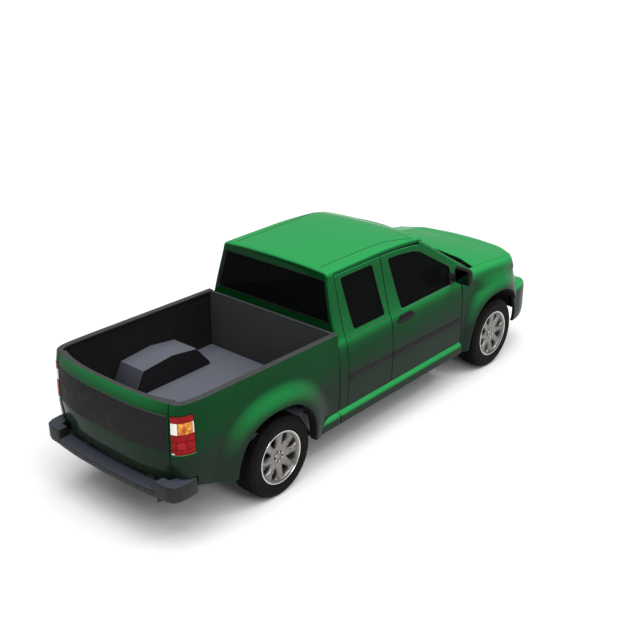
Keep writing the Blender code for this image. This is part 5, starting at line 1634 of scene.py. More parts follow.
# ---- cab --------------------------------------------------------------------
@dataclass
class Cab:
    """Cab shell: roof, pillars, wrapped rear panel, sills, floor and glass."""

    corner: float = 0.018
    roof_half: float = 0.61
    roof_rear_y: float = 0.630
    roof_x: Curve = Curve((0.0, 0.0), (0.30, 0.300), (0.48, 0.480), (0.585, 0.580),
                          (0.615, 0.604), (0.64, 0.610))
    roof_z: Curve = Curve((0.0, 1.716), (0.30, 1.711), (0.48, 1.702), (0.585, 1.692),
                          (0.615, 1.676), (0.64, 1.652))
    drop: Curve = Curve((-0.80, 0.075), (-0.676, 0.048), (-0.50, 0.022), (-0.25, 0.006), (0.0, 0.0),
                        (0.66, 0.004))
    back_y: Curve = Curve((0.40, 0.699), (1.20, 0.6985), (1.66, 0.657))

    def roof_front(self, x: float) -> float:
        """Front edge of the roof, bowed forwards in the middle."""
        return -0.676 - 0.070 * (1 - (x / self.roof_half) ** 2)

    def opening(self) -> list[Flat]:
        """Edge of the rear window."""
        return rounded([(-0.655, 1.262), (0.655, 1.262), (0.645, 1.612), (-0.645, 1.612)], 0.020)

    def roof_point(self, u: float, v: float, sink: float = 0.0) -> Point:
        """Point on the roof; u -1..1 across, v 0..1 from the windshield back, then down.

        Args:
            u: -1..1 across.
            v: 0..1 from the windshield back, then down.
            sink: way inwards from the outer face.

        Returns:
            The point.
        """
        t = abs(u) * 0.64
        x, z = self.roof_x(t), self.roof_z(t) - 0.0015
        front = self.roof_front(x)
        y = front + (self.roof_rear_y - front) * min(v, 1.0)
        fold = max(0.0, 1 - v / 0.12) * 0.010 * (1 - (x / self.roof_half) ** 2)
        z -= self.drop(y) + fold
        if v > 1.0:
            turn = min((v - 1.0) / 0.05, 1.0) * math.pi / 2
            y += 0.027 * math.sin(turn)
            z -= 0.026 * (1 - math.cos(turn)) + max(v - 1.05, 0.0) * 0.5
        pull = sink * min(1.0, 0.3 + abs(x) / self.roof_half)
        return math.copysign(max(x - pull * 0.5, 0.0), u), y - (sink * 0.6 if v > 1 else 0.0), z - sink

    def wrap(self, a: float, z: float, sink: float = 0.0) -> Point:
        """Rear panel and corner pillars; a is the way from the middle to one side.

        Args:
            a: way from the middle to one side.
            z: height.
            sink: way inwards from the outer face.

        Returns:
            The point.
        """
        wide, back = LINES.cab(z) - sink, self.back_y(z) - sink
        radius = max(self.corner - sink, 0.004)
        way = abs(a)
        if way < 0.67:
            x, y = way / 0.67 * (wide - radius), back
        elif way < 0.70:
            t = (way - 0.67) / 0.03 * math.pi / 2
            x, y = wide - radius + radius * math.sin(t), back - radius + radius * math.cos(t)
        else:
            x, y = wide, back - radius + (0.581 - back + radius) * (way - 0.70) / 0.10
        return math.copysign(x, a), y, z

    def build(self) -> None:
        """Build the shell with its trim, floor and lining."""
        piece = Piece("cab_body", "body", ["cab_shell"], "paint")
        vs = [*np.linspace(0, 0.12, 7), *np.linspace(0.16, 0.97, 26), *np.linspace(1.0, 1.05, 7), 1.09]
        us = [math.copysign(1 - (1 - abs(u)) ** 1.6, u) for u in np.linspace(-1, 1, 61)]
        piece.put(sheet(self.roof_point, us, vs, 0.0, 0.016), PAINT)
        piece.put(sheet(self.roof_point, [u * 0.96 for u in us[::3]], vs[1:-7:2], 0.020, 0.030), HEADLINER)
        outline = [(-0.80, 0.40), (0.80, 0.40), (0.80, 1.664), (-0.80, 1.664)]
        hole = self.opening()
        piece.put_panel(layer(outline, self.wrap, 0.0, 0.044, 0.014, 0.0025, (hole,)), PAINT, VINYL)
        seal = [self.wrap(a, z, 0.004) for a, z in resampled(inset(hole, -0.001), 0.03)]
        piece.put(tube(seal, 0.0065, 8, True), SEAL)
        for side in Side:
            piece.put(sill_rail(-1.160, 0.699, 0.008).on(side), PAINT)
            piece.put(self.pillar().on(side), PAINT)
            piece.put(self.gutter().on(side), SEAL)
            piece.put(self.weatherstrip().on(side), SEAL)
            piece.put(block((0.630, -1.160, 0.400), (0.682, 0.690, 0.500)).on(side), JAMB)
            piece.put(block((0.620, -1.420, 0.900), (0.690, -1.1655, 1.130)).on(side), JAMB)
            piece.put(self.cowl_corner().on(side), BLACK)
        seam = [self.roof_point(u, 0.105) for u in np.linspace(-0.90, 0.90, 50)]
        piece.put(tube([(x, y, z - 0.0012) for x, y, z in seam], 0.0022, 6), SEAL)
        piece.put(block((-0.682, -1.230, 0.480), (0.682, 0.650, 0.492)), STEEL)
        piece.put(self.carpet(), CARPET)
        piece.put(block((-0.690, -1.235, 0.480), (0.690, -1.207, 1.110)), JAMB)
        rows, less = [], []
        for v, drop in ((0.0, 0.040), (0.15, 0.030), (0.30, 0.020), (0.45, 0.012), (1.0, 0.020)):
            row, low = [], []
            for u in np.linspace(-1, 1, 25):
                foot = LINES.windshield(u, 0.0)
                y = foot.y - 0.050 + (-1.200 - foot.y + 0.050) * v
                row.append((0.700 * u, y, foot.z - drop))
                low.append((0.700 * u, y, foot.z - drop - 0.045))
            rows.append(row)
            less.append(low)
        piece.put(slab(rows, less), PAINT)
        piece.build()
        self.glass()

    def pillar(self) -> Mesh:
        """Windshield pillar on the left.

        Returns:
            The pillar.
        """
        rings = []
        for t in np.linspace(-0.04, 1.06, 16):
            w = LINES.windshield_edge(t)
            high, low = LINES.cab(w.z - 0.016) - 0.002, LINES.cab(w.z - 0.044) - 0.001
            shape = [(w.x + 0.001, -0.001), (high - 0.010, -0.003), (high - 0.003, -0.007),
                     (high, -0.016), (low, -0.040), (w.x - 0.012, -0.040)]
            rings.append([(x, w.y + 0.001 + 0.007 * (x - w.x) / 0.03, w.z + up) for x, up in shape])
        return loft(rings)

    def gutter(self) -> Mesh:
        """Dark moulding in the roof joint, curving out to the pillar.

        Returns:
            The moulding.
        """
        path = []
        line = Curve((-0.56, 0.93), (-0.50, 0.90), (-0.41, 0.86), (-0.20, 0.79), (0.10, 0.775),
                     (0.58, 0.765))
        for y in np.linspace(-0.56, 0.60, 50):
            u = line(y)
            x, _, _ = self.roof_point(u, 0.5)
            front = self.roof_front(x)
            path.append(self.roof_point(u, (y - front) / (self.roof_rear_y - front)))
        return tube([(x, y, z - 0.0016) for x, y, z in path], 0.0036, 8)

    def weatherstrip(self) -> Mesh:
        """Rubber strip in the gap above the doors.

        Returns:
            The strip.
        """
        return tube([(0.600, y, z) for y, z in ((-0.60, 1.600), (-0.48, 1.622), (-0.30, 1.638),
                                                (-0.10, 1.645), (0.20, 1.647), (0.58, 1.647))],
                    0.008, 8)

    def cowl_corner(self) -> Mesh:
        """Dark corner cover at the foot of the windshield."""
        return prism(rounded([(0.640, -1.425), (0.695, -1.400), (0.698, -1.290), (0.672, -1.330)],
                             0.01, 3), 1.128, 1.152, "z", 0.003)

    def carpet(self) -> list[Mesh]:
        """Carpet with the gearbox tunnel.

        Returns:
            The front and rear carpet.
        """
        rows, less = [], []
        shape = ((-0.66, 0.497), (-0.25, 0.497), (-0.205, 0.505), (-0.172, 0.630), (-0.150, 0.645),
                 (0.150, 0.645), (0.172, 0.630), (0.205, 0.505), (0.25, 0.497), (0.66, 0.497))
        for y in (-1.205, -0.9, -0.7, -0.575):
            rows.append([(x, y, z) for x, z in shape])
            less.append([(x * 0.985, y, z - 0.004) for x, z in shape])
        rear = block((-0.66, -0.575, 0.4925), (0.66, 0.645, 0.498), 0.002)
        return [slab(rows, less), rear]

    def glass(self) -> None:
        """Windshield and rear window."""
        us, vs = np.linspace(-0.985, 0.985, 33), np.linspace(0.015, 0.990, 15)
        front = Piece("windshield_glass", "body", ["windshield"], "glass")
        front.put(sheet(LINES.windshield, us, vs, 0.0, 0.006), GLASS)
        rim = [(u, 0.015) for u in us] + [(0.985, v) for v in vs] + [(u, 0.990) for u in us[::-1]]
        rim += [(-0.985, v) for v in vs[::-1]]
        rim = list(dict.fromkeys(rim))
        front.put(tube([LINES.windshield(u, v, 0.003) for u, v in rim], 0.0055, 8, True), SEAL)
        front.build()
        rear = Piece("rear_window_glass", "body", ["rear_window"], "glass")
        rear.put(layer(inset(self.opening(), 0.001), self.wrap, 0.012, 0.018, 0.05, 0.001), GLASS).build()


# ---- front end --------------------------------------------------------------
@dataclass
class FrontEnd:
    """Hood, fenders, front bumper, grille and head lamps."""

    fender_rear_y: float = -1.1645
    fender_front_y: float = -2.168
    crease: float = 0.93
    grille_half: float = 0.458
    bumper: Path = field(default_factory=lambda: Path(
        ((0.0, -2.628), (0.30, -2.626), (0.50, -2.616), (0.60, -2.598), (0.66, -2.556),
         (0.70, -2.500), (0.735, -2.420), (0.758, -2.320), (0.768, -2.222),
         (0.773, -2.1715))))
    lamp: Path = field(default_factory=lambda: Path(
        ((0.462, -2.392), (0.54, -2.372), (0.61, -2.335), (0.665, -2.285), (0.705, -2.230),
         (0.728, -2.172))))
    bumper_out: Curve = Curve((0.330, -0.045), (0.370, -0.012), (0.430, 0.0), (0.620, 0.0),
                              (0.668, -0.012), (0.690, -0.045), (0.700, -0.120), (0.784, -0.150))
    grille_y: Curve = Curve((0.696, -2.490), (0.80, -2.478), (0.95, -2.440), (1.040, -2.404))

    def hood_point(self, u: float, v: float, sink: float = 0.0) -> Point:
        """Point on the hood; u -1..1 across, v 0..1 from the windshield forwards.

        Args:
            u: -1..1 across.
            v: 0..1 from the windshield forwards.
            sink: way inwards from the outer face.

        Returns:
            The point.
        """
        side, u = math.copysign(1.0, u), abs(u)
        rear = LINES.windshield(min(u * 1.03, 1.0), 0.0).y - 0.056
        front = -2.345 + 0.050 * u ** 2 + 0.085 * u ** 6
        y = rear + (front - rear) * v
        x = (0.698 - LINES.nose(y) * 0.55) * u
        crown = 0.046 * (1 - u ** 2.2) + 0.008 * math.exp(-((u - 0.72) / 0.12) ** 2)
        lip = -0.012 * max(0.0, (v - 0.86) / 0.14) ** 2
        return side * x, y, LINES.hood_edge(y) + crown * (1 - 0.35 * v) + lip - sink

    def hood(self) -> None:
        """Build the hood with its inner stiffeners."""
        us = [math.sin(t) for t in np.linspace(-math.pi / 2, math.pi / 2, 61)]
        vs = [*np.linspace(0, 0.86, 34), *np.linspace(0.88, 1.0, 8)]

        def rolled(u: float, v: float) -> Point:
            """Outer face with its edges rolled down.

            Args:
                u: -1..1 across.
                v: 0..1 forwards.

            Returns:
                The point.
            """
            near = min(1 - abs(u), v * 1.2, (1 - v) * 1.2)
            x, y, z = self.hood_point(u, v)
            return x, y, z - 0.006 * max(0.0, 1 - near / 0.010)
        piece = Piece("hood_panel", "hood", ["hood"], "paint")
        outer = [[rolled(u, v) for u in us] for v in vs]
        inner = [[self.hood_point(u, v, 0.0205) for u in us] for v in vs]
        piece.put(slab(outer, inner), PAINT)
        for a, b in (((-0.75, 0.1), (0.0, 0.9)), ((0.75, 0.1), (0.0, 0.9)), ((-0.85, 0.08), (0.85, 0.08)),
                     ((-0.8, 0.92), (0.8, 0.92)), ((0.0, 0.1), (0.0, 0.9))):
            path = [self.hood_point(a[0] + (b[0] - a[0]) * t, a[1] + (b[1] - a[1]) * t, 0.0215)
                    for t in np.linspace(0, 1, 24)]
            piece.put(tube(path, 0.007, 8), JAMB)
        piece.build(angle=50.0)

    def fender_point(self, y: float, b: float, sink: float = 0.0) -> Point:
        """Outer face of the fender; b is the height up to the crease, then the way over its edge.

        Args:
            y: length along the truck.
            b: height up to the crease, then the way over its edge.
            sink: way inwards from the outer face.

        Returns:
            The point.
        """
        top, nose = LINES.hood_edge(y), LINES.nose(y)
        if b <= self.crease:
            x = LINES.cab(b) - nose + LINES.flare(y, b)
            return x - sink * (1.0 + 0.6 * LINES.flare(y, b) / 0.024), y, b
        t = (b - self.crease) / 0.20
        at = (0.0, 0.30, 0.58, 0.83, 1.0)
        xs = [LINES.cab(self.crease) - nose + LINES.flare(y, self.crease)]
        zs = [self.crease]
        for x, below in ((0.780, 0.118), (0.764, 0.062), (0.738, 0.022)):
            xs.append(x - nose * 0.8 + LINES.flare(y, top - below) * 0.8)
            zs.append(max(top - below, 0.935 + 0.01 * len(zs)))
        xs.append(0.706 - nose * 0.55)
        zs.append(top)
        x, z = Curve(*zip(at, xs))(t), Curve(*zip(at, zs))(t)
        return x - sink * (1 - 0.75 * t), y, z - sink * 0.75 * t

    def fender(self, side: Side) -> None:
        """Build one front fender with its wheel-well liner.

        Args:
            side: side of the truck.
        """
        arch = [(y, z) for y, z in LINES.arch(LINES.front_axle_y) if z > 0.364]
        pillar_cut = [(self.fender_rear_y, 1.03), (-1.215, 1.09), (-1.30, 1.125), (-1.36, 1.13)]
        outline = [(LINES.front_axle_y + LINES.arch_half, 0.34), (self.fender_rear_y, 0.34), *pillar_cut,
                   (self.fender_front_y, 1.13), (self.fender_front_y, 0.618)]
        outline += [p for p in reversed(arch) if p[0] > self.fender_front_y + 0.002]
        made = layer(outline, self.fender_point, 0.0, 0.020, 0.018, 0.0035)
        piece = Piece(f"front_fender_{side.word}", "body", [f"fender_{side.word}"], "paint")
        piece.put_panel(made, PAINT, BLACK)
        low, high = ([(y, z) for y, z in LINES.arch(LINES.front_axle_y, grow) if y > self.fender_front_y]
                     for grow in (0.004, 0.012))
        rings = []
        for a, b in zip(low, high):
            out = self.fender_point(a[0], a[1], 0.012)[0]
            rings.append([(0.345, *a), (out, *a), (out, *b), (0.345, *b)])
        piece.put(loft(rings), BLACK)
        piece.build(mirror=side)

    def bumper_point(self, way: float, z: float, sink: float = 0.0) -> Point:
        """Face of the front bumper by the signed way from its middle.

        Args:
            way: signed way from the middle.
            z: height.
            sink: way inwards from the outer face.

        Returns:
            The point.
        """
        x, y, nx, ny = self.bumper.frame(abs(way))
        nx, ny = abs(nx), -abs(ny)
        fade = max(min(1.0, 1.15 - 0.85 * nx), 0.12)
        shift = self.bumper_out(min(z, 0.690)) * fade - sink
        low = Vector((x + nx * shift, y + ny * shift, z))
        if z > 0.690:
            share = min((z - 0.690) / 0.094, 1.0)
            share = 1 - (1 - share) ** 3
            along = max(abs(way) - self.grille_half, 0.0) / (self.bumper.length - self.grille_half)
            lx, ly, _ = self.lamp_point(min(along, 1.0) * self.lamp.length, 0.7875, sink)
            low = low.lerp(Vector((max(lx, 0.462), ly, z)), share)
        return math.copysign(low.x, way), low.y, z

    def front_bumper(self) -> None:
        """Build the bumper with its lower air opening and fog lamps."""
        end = self.bumper.length
        notch = self.grille_half
        half = [(end - 0.052, 0.330), (end - 0.052, 0.470), (end - 0.030, 0.540), (end - 0.004, 0.610),
                (end, 0.640), (end, 0.784), (notch, 0.784), (notch, 0.6955)]
        outline = half + [(-w, z) for w, z in reversed(half)]
        air = oblong((-0.400, 0.400), (0.400, 0.520), 0.03, 5)
        made = layer(outline, self.bumper_point, 0.0, 0.034, 0.020, 0.004, (air,))
        piece = Piece("bumper_front_cover", "body", ["front_bumper"], "paint")
        piece.put_panel(made, PAINT, BLACK)
        piece.put(block((-0.402, -2.585, 0.448), (0.402, -2.572, 0.472)), BLACK)
        for side in Side:
            piece.put(block((0.250, -2.600, 0.540), (0.320, -2.4405, 0.600)).on(side), STEEL)
            fog = lathe([(0.0, 0.006), (0.030, 0.004), (0.040, 0.0), (0.046, 0.004), (0.050, 0.0),
                         (0.046, -0.010), (0.0, -0.012)], 28, False)
            x, y, z = self.bumper_point(0.555, 0.465)
            piece.put(fog.placed(lambda p, x=x, y=y, z=z: (x + p[1], y - p[0] + 0.25 * p[1], z + p[2]))
                      .on(side), PALE)
        piece.put(block((-0.500, -2.540, 0.672), (0.500, -2.380, 0.690)), BLACK)
        piece.put(block((-0.500, -2.551, 0.336), (0.500, -2.545, 0.600), 0.002), BLACK)
        piece.build()

    def grille_point(self, x: float, z: float, sink: float = 0.0) -> Point:
        """Face of the grille."""
        return x, self.grille_y(z) + 0.045 * (x / self.grille_half) ** 2 + sink, z

    def grille(self) -> None:
        """Build the grille frame and its slats."""
        outline = oblong((-0.457, 0.6965), (0.457, 1.039), 0.012)
        holes = [oblong((-0.415, low), (0.415, high), 0.03, 5)
                 for low, high in ((0.725, 0.850), (0.905, 1.012))]
        made = layer(outline, self.grille_point, 0.0, 0.038, 0.02, 0.004, holes)
        piece = Piece("front_grille", "body", ["grille"], "dark_plastic")
        piece.put_panel(made, TRIM, BLACK)
        for side in Side:
            piece.put(block((0.360, -2.460, 0.700), (0.400, -2.2705, 0.720)).on(side), BLACK)
            piece.put(block((0.255, -2.300, 0.5853), (0.315, -2.262, 0.660)).on(side), STEEL)
        piece.put(block((-0.400, -2.262, 0.5853), (0.400, -2.254, 0.600)), BLACK)
        screen = [(-0.456, 0.692), (0.456, 0.692), (0.456, 1.030), (-0.456, 1.030)]
        piece.put(layer(screen, self.grille_point, 0.044, 0.048, 0.06, 0.001), BLACK)
        piece.build()
        slat = prism([(-0.5, -0.3), (0.5, -0.5), (0.5, 0.5), (-0.5, 0.3)], -0.5, 0.5, "x", 0.08)
        spots = []
        for z in (0.742, 0.763, 0.784, 0.805, 0.826, 0.922, 0.941, 0.960, 0.979, 0.998):
            for k in range(21):
                x = -0.400 + 0.040 * k
                at = self.grille_point(x, z, 0.022)
                turn = math.atan(0.09 * x / self.grille_half ** 2)
                spots.append(Spot(at, (0.0, 0.0, turn), (0.0405, 0.016, 0.007)))
        Repeat("grille_slats", slat, spots, TRIM).build("body")

    def lamp_point(self, way: float, z: float, sink: float = 0.0) -> Point:
        """Face of the head lamp.

        Args:
            way: way along the plan path.
            z: height.
            sink: way inwards from the outer face.

        Returns:
            The point.
        """
        off = Curve((0.7875, -0.004), (0.83, 0.0), (0.93, -0.004), (1.00, -0.014), (1.032, -0.024))(z)
        x, y, nx, ny = self.lamp.frame(way)
        return x + abs(nx) * (off - sink), y - abs(ny) * (off - sink), z

    def headlight(self, side: Side) -> None:
        """Build one head lamp: housing, reflectors, bulbs and lens.

        Args:
            side: side of the truck.
        """
        end = self.lamp.length
        outline = oblong((0.003, 0.790), (end - 0.003, 1.030), 0.022, 5)
        piece = Piece(f"head_lamp_{side.word}", "body", [f"headlight_{side.word}"], "clear_lens")
        piece.put(layer(outline, self.lamp_point, 0.0, 0.003, 0.02, 0.001), LENS)
        piece.put(layer(inset(outline, 0.003), self.lamp_point, 0.046, 0.052, 0.03, 0.001), BLACK)
        for way, z, radius in ((0.085, 0.915, 0.062), (0.225, 0.925, 0.050)):
            bowl = lathe([(0.006, -0.030), (radius * 0.5, -0.026), (radius * 0.85, -0.014),
                          (radius, 0.0), (radius * 1.04, -0.001), (radius * 0.88, -0.018),
                          (radius * 0.5, -0.031), (0.006, -0.034)], 32)
            bulb = lathe([(0.0, -0.004), (0.007, -0.008), (0.009, -0.016), (0.009, -0.033),
                          (0.0, -0.034)], 16, False)
            x, y, _ = self.lamp_point(way, z, 0.008)
            _, _, nx, ny = self.lamp.frame(way)
            nx, ny = abs(nx), -abs(ny)
            for mesh, finish in ((bowl, BRIGHT), (bulb, PALE)):
                piece.put(mesh.placed(lambda p, c=(x, y, z, nx, ny): (
                    c[0] + c[3] * p[0] - c[4] * p[1], c[1] + c[4] * p[0] + c[3] * p[1],
                    c[2] + p[2])), finish)
        side_cell = oblong((0.30, 0.83), (end - 0.02, 0.99), 0.012)
        piece.put(layer(side_cell, self.lamp_point, 0.010, 0.020, 0.02, 0.001), AMBER)
        piece.build(mirror=side)


# ---- wheels -----------------------------------------------------------------
@dataclass
class Wheel:
    """Road wheel: tyre with tread and lettering-free walls, cast rim and disc."""

    x: float = 0.680
    radius: float = 0.363
    bead: float = 0.2165
    half: float = 0.125
    spokes: int = 8
    spoke_reach: tuple[float, float] = (0.052, 0.2045)
    spoke_half: Curve = Curve((0.05, 0.392), (0.098, 0.3925), (0.112, 0.330), (0.135, 0.245),
                              (0.165, 0.215), (0.190, 0.240), (0.2045, 0.300))

    def tyre(self) -> Mesh:
        """Tyre body up to the foot of the tread blocks, about the wheel's middle.

        Returns:
            The tyre.
        """
        b, h, r = self.bead, self.half, self.radius
        side = [(b, h - 0.020), (b + 0.003, h - 0.010), (b + 0.012, h - 0.006), (b + 0.020, h - 0.004),
                (b + 0.022, h - 0.0055), (b + 0.045, h - 0.001), (b + 0.068, h), (b + 0.090, h - 0.0015),
                (b + 0.092, h), (b + 0.097, h), (b + 0.099, h - 0.003), (r - 0.032, h - 0.009),
                (r - 0.018, h - 0.018), (r - 0.010, h - 0.030), (r - 0.0075, h - 0.045)]
        middle = [(r - 0.0075, 0.034), (r - 0.0105, 0.030), (r - 0.0105, 0.026), (r - 0.0075, 0.022)]
        half_profile = side + middle
        profile = half_profile + [(q, -x) for q, x in reversed(half_profile)]
        return lathe(profile, 96)

    def tread(self, name: str, side: Side, axle_y: float, body: str) -> None:
        """Tread blocks all round the tyre.

        Args:
            name: name of the piece.
            side: side of the truck.
            axle_y: length of the axle.
            body: body of the wheel.
        """
        lug = prism([(-0.5, -0.42), (0.42, -0.5), (0.5, 0.42), (-0.42, 0.5)], -1.0, 0.0, "z", 0.10)
        spots = []
        rows = ((0.0, 0.036, 72, 0.0), (0.048, 0.030, 72, 0.5), (-0.048, 0.030, 72, 0.5),
                (0.088, 0.034, 72, 0.0), (-0.088, 0.034, 72, 0.0))
        for x, wide, count, phase in rows:
            for k in range(count):
                t = 2 * math.pi * (k + phase) / count
                r = self.radius - (0.0006 if abs(x) < 0.06 else 0.0055)
                tilt = 0.0 if abs(x) < 0.06 else math.copysign(0.20, x)
                turn = (Euler((t - math.pi / 2, 0, 0)).to_matrix()
                        @ Euler((0, tilt, 0.10)).to_matrix()).to_euler()
                at = (side.value * self.x + x, axle_y + r * math.cos(t), LINES.axle_z + r * math.sin(t))
                spots.append(Spot(at, tuple(turn), (wide, 0.0225, 0.0085)))
        Repeat(name, lug, spots, TYRE).build(body)

    def rim(self) -> list[Mesh]:
        """Barrel, lip, hub and spokes; +X is the outside.

        Returns:
            The rim's parts.
        """
        barrel = lathe([(0.205, -0.117), (0.230, -0.121), (0.234, -0.118), (0.232, -0.112),
                        (0.2152, -0.105), (0.2152, 0.108), (0.2315, 0.1135), (0.2340, 0.1175),
                        (0.2330, 0.1205), (0.2285, 0.1210), (0.2245, 0.1180), (0.2130, 0.1145),
                        (0.2075, 0.1090), (0.2010, 0.0960), (0.1990, 0.0600), (0.2010, -0.100)], 96)
        hub = lathe([(0.0, 0.060), (0.066, 0.052), (0.070, 0.060), (0.074, 0.078), (0.070, 0.087),
                     (0.060, 0.0895), (0.052, 0.0885), (0.048, 0.0800), (0.036, 0.0795),
                     (0.034, 0.088), (0.030, 0.0925), (0.020, 0.0945), (0.0, 0.0950)], 64, False)
        disc = lathe([(0.033, -0.032), (0.135, -0.030), (0.136, -0.024), (0.135, -0.012),
                      (0.078, -0.011), (0.074, 0.020), (0.068, 0.056), (0.033, 0.060)], 64)
        return [barrel, hub, disc, *[self.spoke(k) for k in range(self.spokes)]]

    def shield(self) -> Mesh:
        """Dark plate behind the spokes: a dark sheet that paints shade into the spoke windows."""
        return lathe([(0.040, 0.047), (0.192, 0.045), (0.193, 0.042), (0.192, 0.040),
                      (0.040, 0.041)], 64)

    def spoke(self, k: int) -> Mesh:
        """One broad spoke with a raised rib along each edge.

        Args:
            k: number of the spoke.

        Returns:
            The spoke.
        """
        middle = 2 * math.pi * k / self.spokes
        start, end = self.spoke_reach
        front, back = [], []
        for q in np.linspace(0.0, 1.0, 12):
            r = start + (end - start) * q
            spread = self.spoke_half(r)
            row, rear = [], []
            for u in np.linspace(-1, 1, 13):
                raised = min(max((r - 0.085) / 0.05, 0.0), 1.0)
                rib = math.exp(-((abs(u) - 0.66) / 0.20) ** 2) * 0.009 * raised
                roll = -0.014 * raised * max(0.0, (abs(u) - 0.84) / 0.16) ** 2
                base = 0.0835 + 0.0165 * q + 0.004 * math.sin(math.pi * q)
                t = middle + spread * u
                row.append((base + rib + roll, r * math.cos(t), r * math.sin(t)))
                rear.append((base - 0.026 + roll * 0.2, r * math.cos(t), r * math.sin(t)))
            front.append(row)
            back.append(rear)
        return slab(front, back)

    def build(self, end: str, side: Side, axle_y: float) -> None:
        """Build one wheel at its axle.

        Args:
            end: front or rear, as the nodes spell it.
            side: side of the truck.
            axle_y: length of the axle.
        """
        body = f"wheel_{end}_{side.word}"

        def put(p: Point) -> Point:
            """Place a point of the wheel, outside face outwards."""
            return side.value * (self.x + p[0]), axle_y + p[1], LINES.axle_z + p[2]

        Piece(f"tyre_{end}_{side.word}_worn", body, [f"tyre_{end}_{side.word}"], "tyre").put(
            self.tyre().placed(put), TYRE).build()
        rim = Piece(f"rim_{end}_{side.word}_cast", body, [f"rim_{end}_{side.word}"], "alloy")
        rim.put([m.placed(put) for m in self.rim()], ALLOY)
        lip = lathe([(0.2342, 0.1170), (0.2342, 0.1200), (0.2325, 0.1215), (0.2270, 0.1215),
                     (0.2245, 0.1190), (0.2290, 0.1180)], 96)
        # The black plate behind the spokes is painted shade in the spoke windows.
        rim.put(lip.placed(put), BRIGHT).put(self.shield().placed(put), BLACK)
        valve = tube([(0.108, 0.196, 0.0), (0.118, 0.190, 0.0), (0.128, 0.186, 0.0)], 0.0035, 8)
        rim.put(valve.placed(put), BLACK)
        rim.build(angle=40.0)
        nut = lathe([(0.0, 0.012), (0.006, 0.0115), (0.0095, 0.008), (0.0095, 0.0), (0.0, 0.0)], 6, False)
        spots = []
        for k in range(6):
            t = 2 * math.pi * (k + 0.5) / 6
            at = put((0.0875, 0.042 * math.cos(t), 0.042 * math.sin(t)))
            spots.append(Spot(at, side.turn))
        Repeat(f"wheel_nuts_{end}_{side.word}", nut, spots, BRIGHT).build(body)
        self.tread(f"tread_{end}_{side.word}", side, axle_y, body)


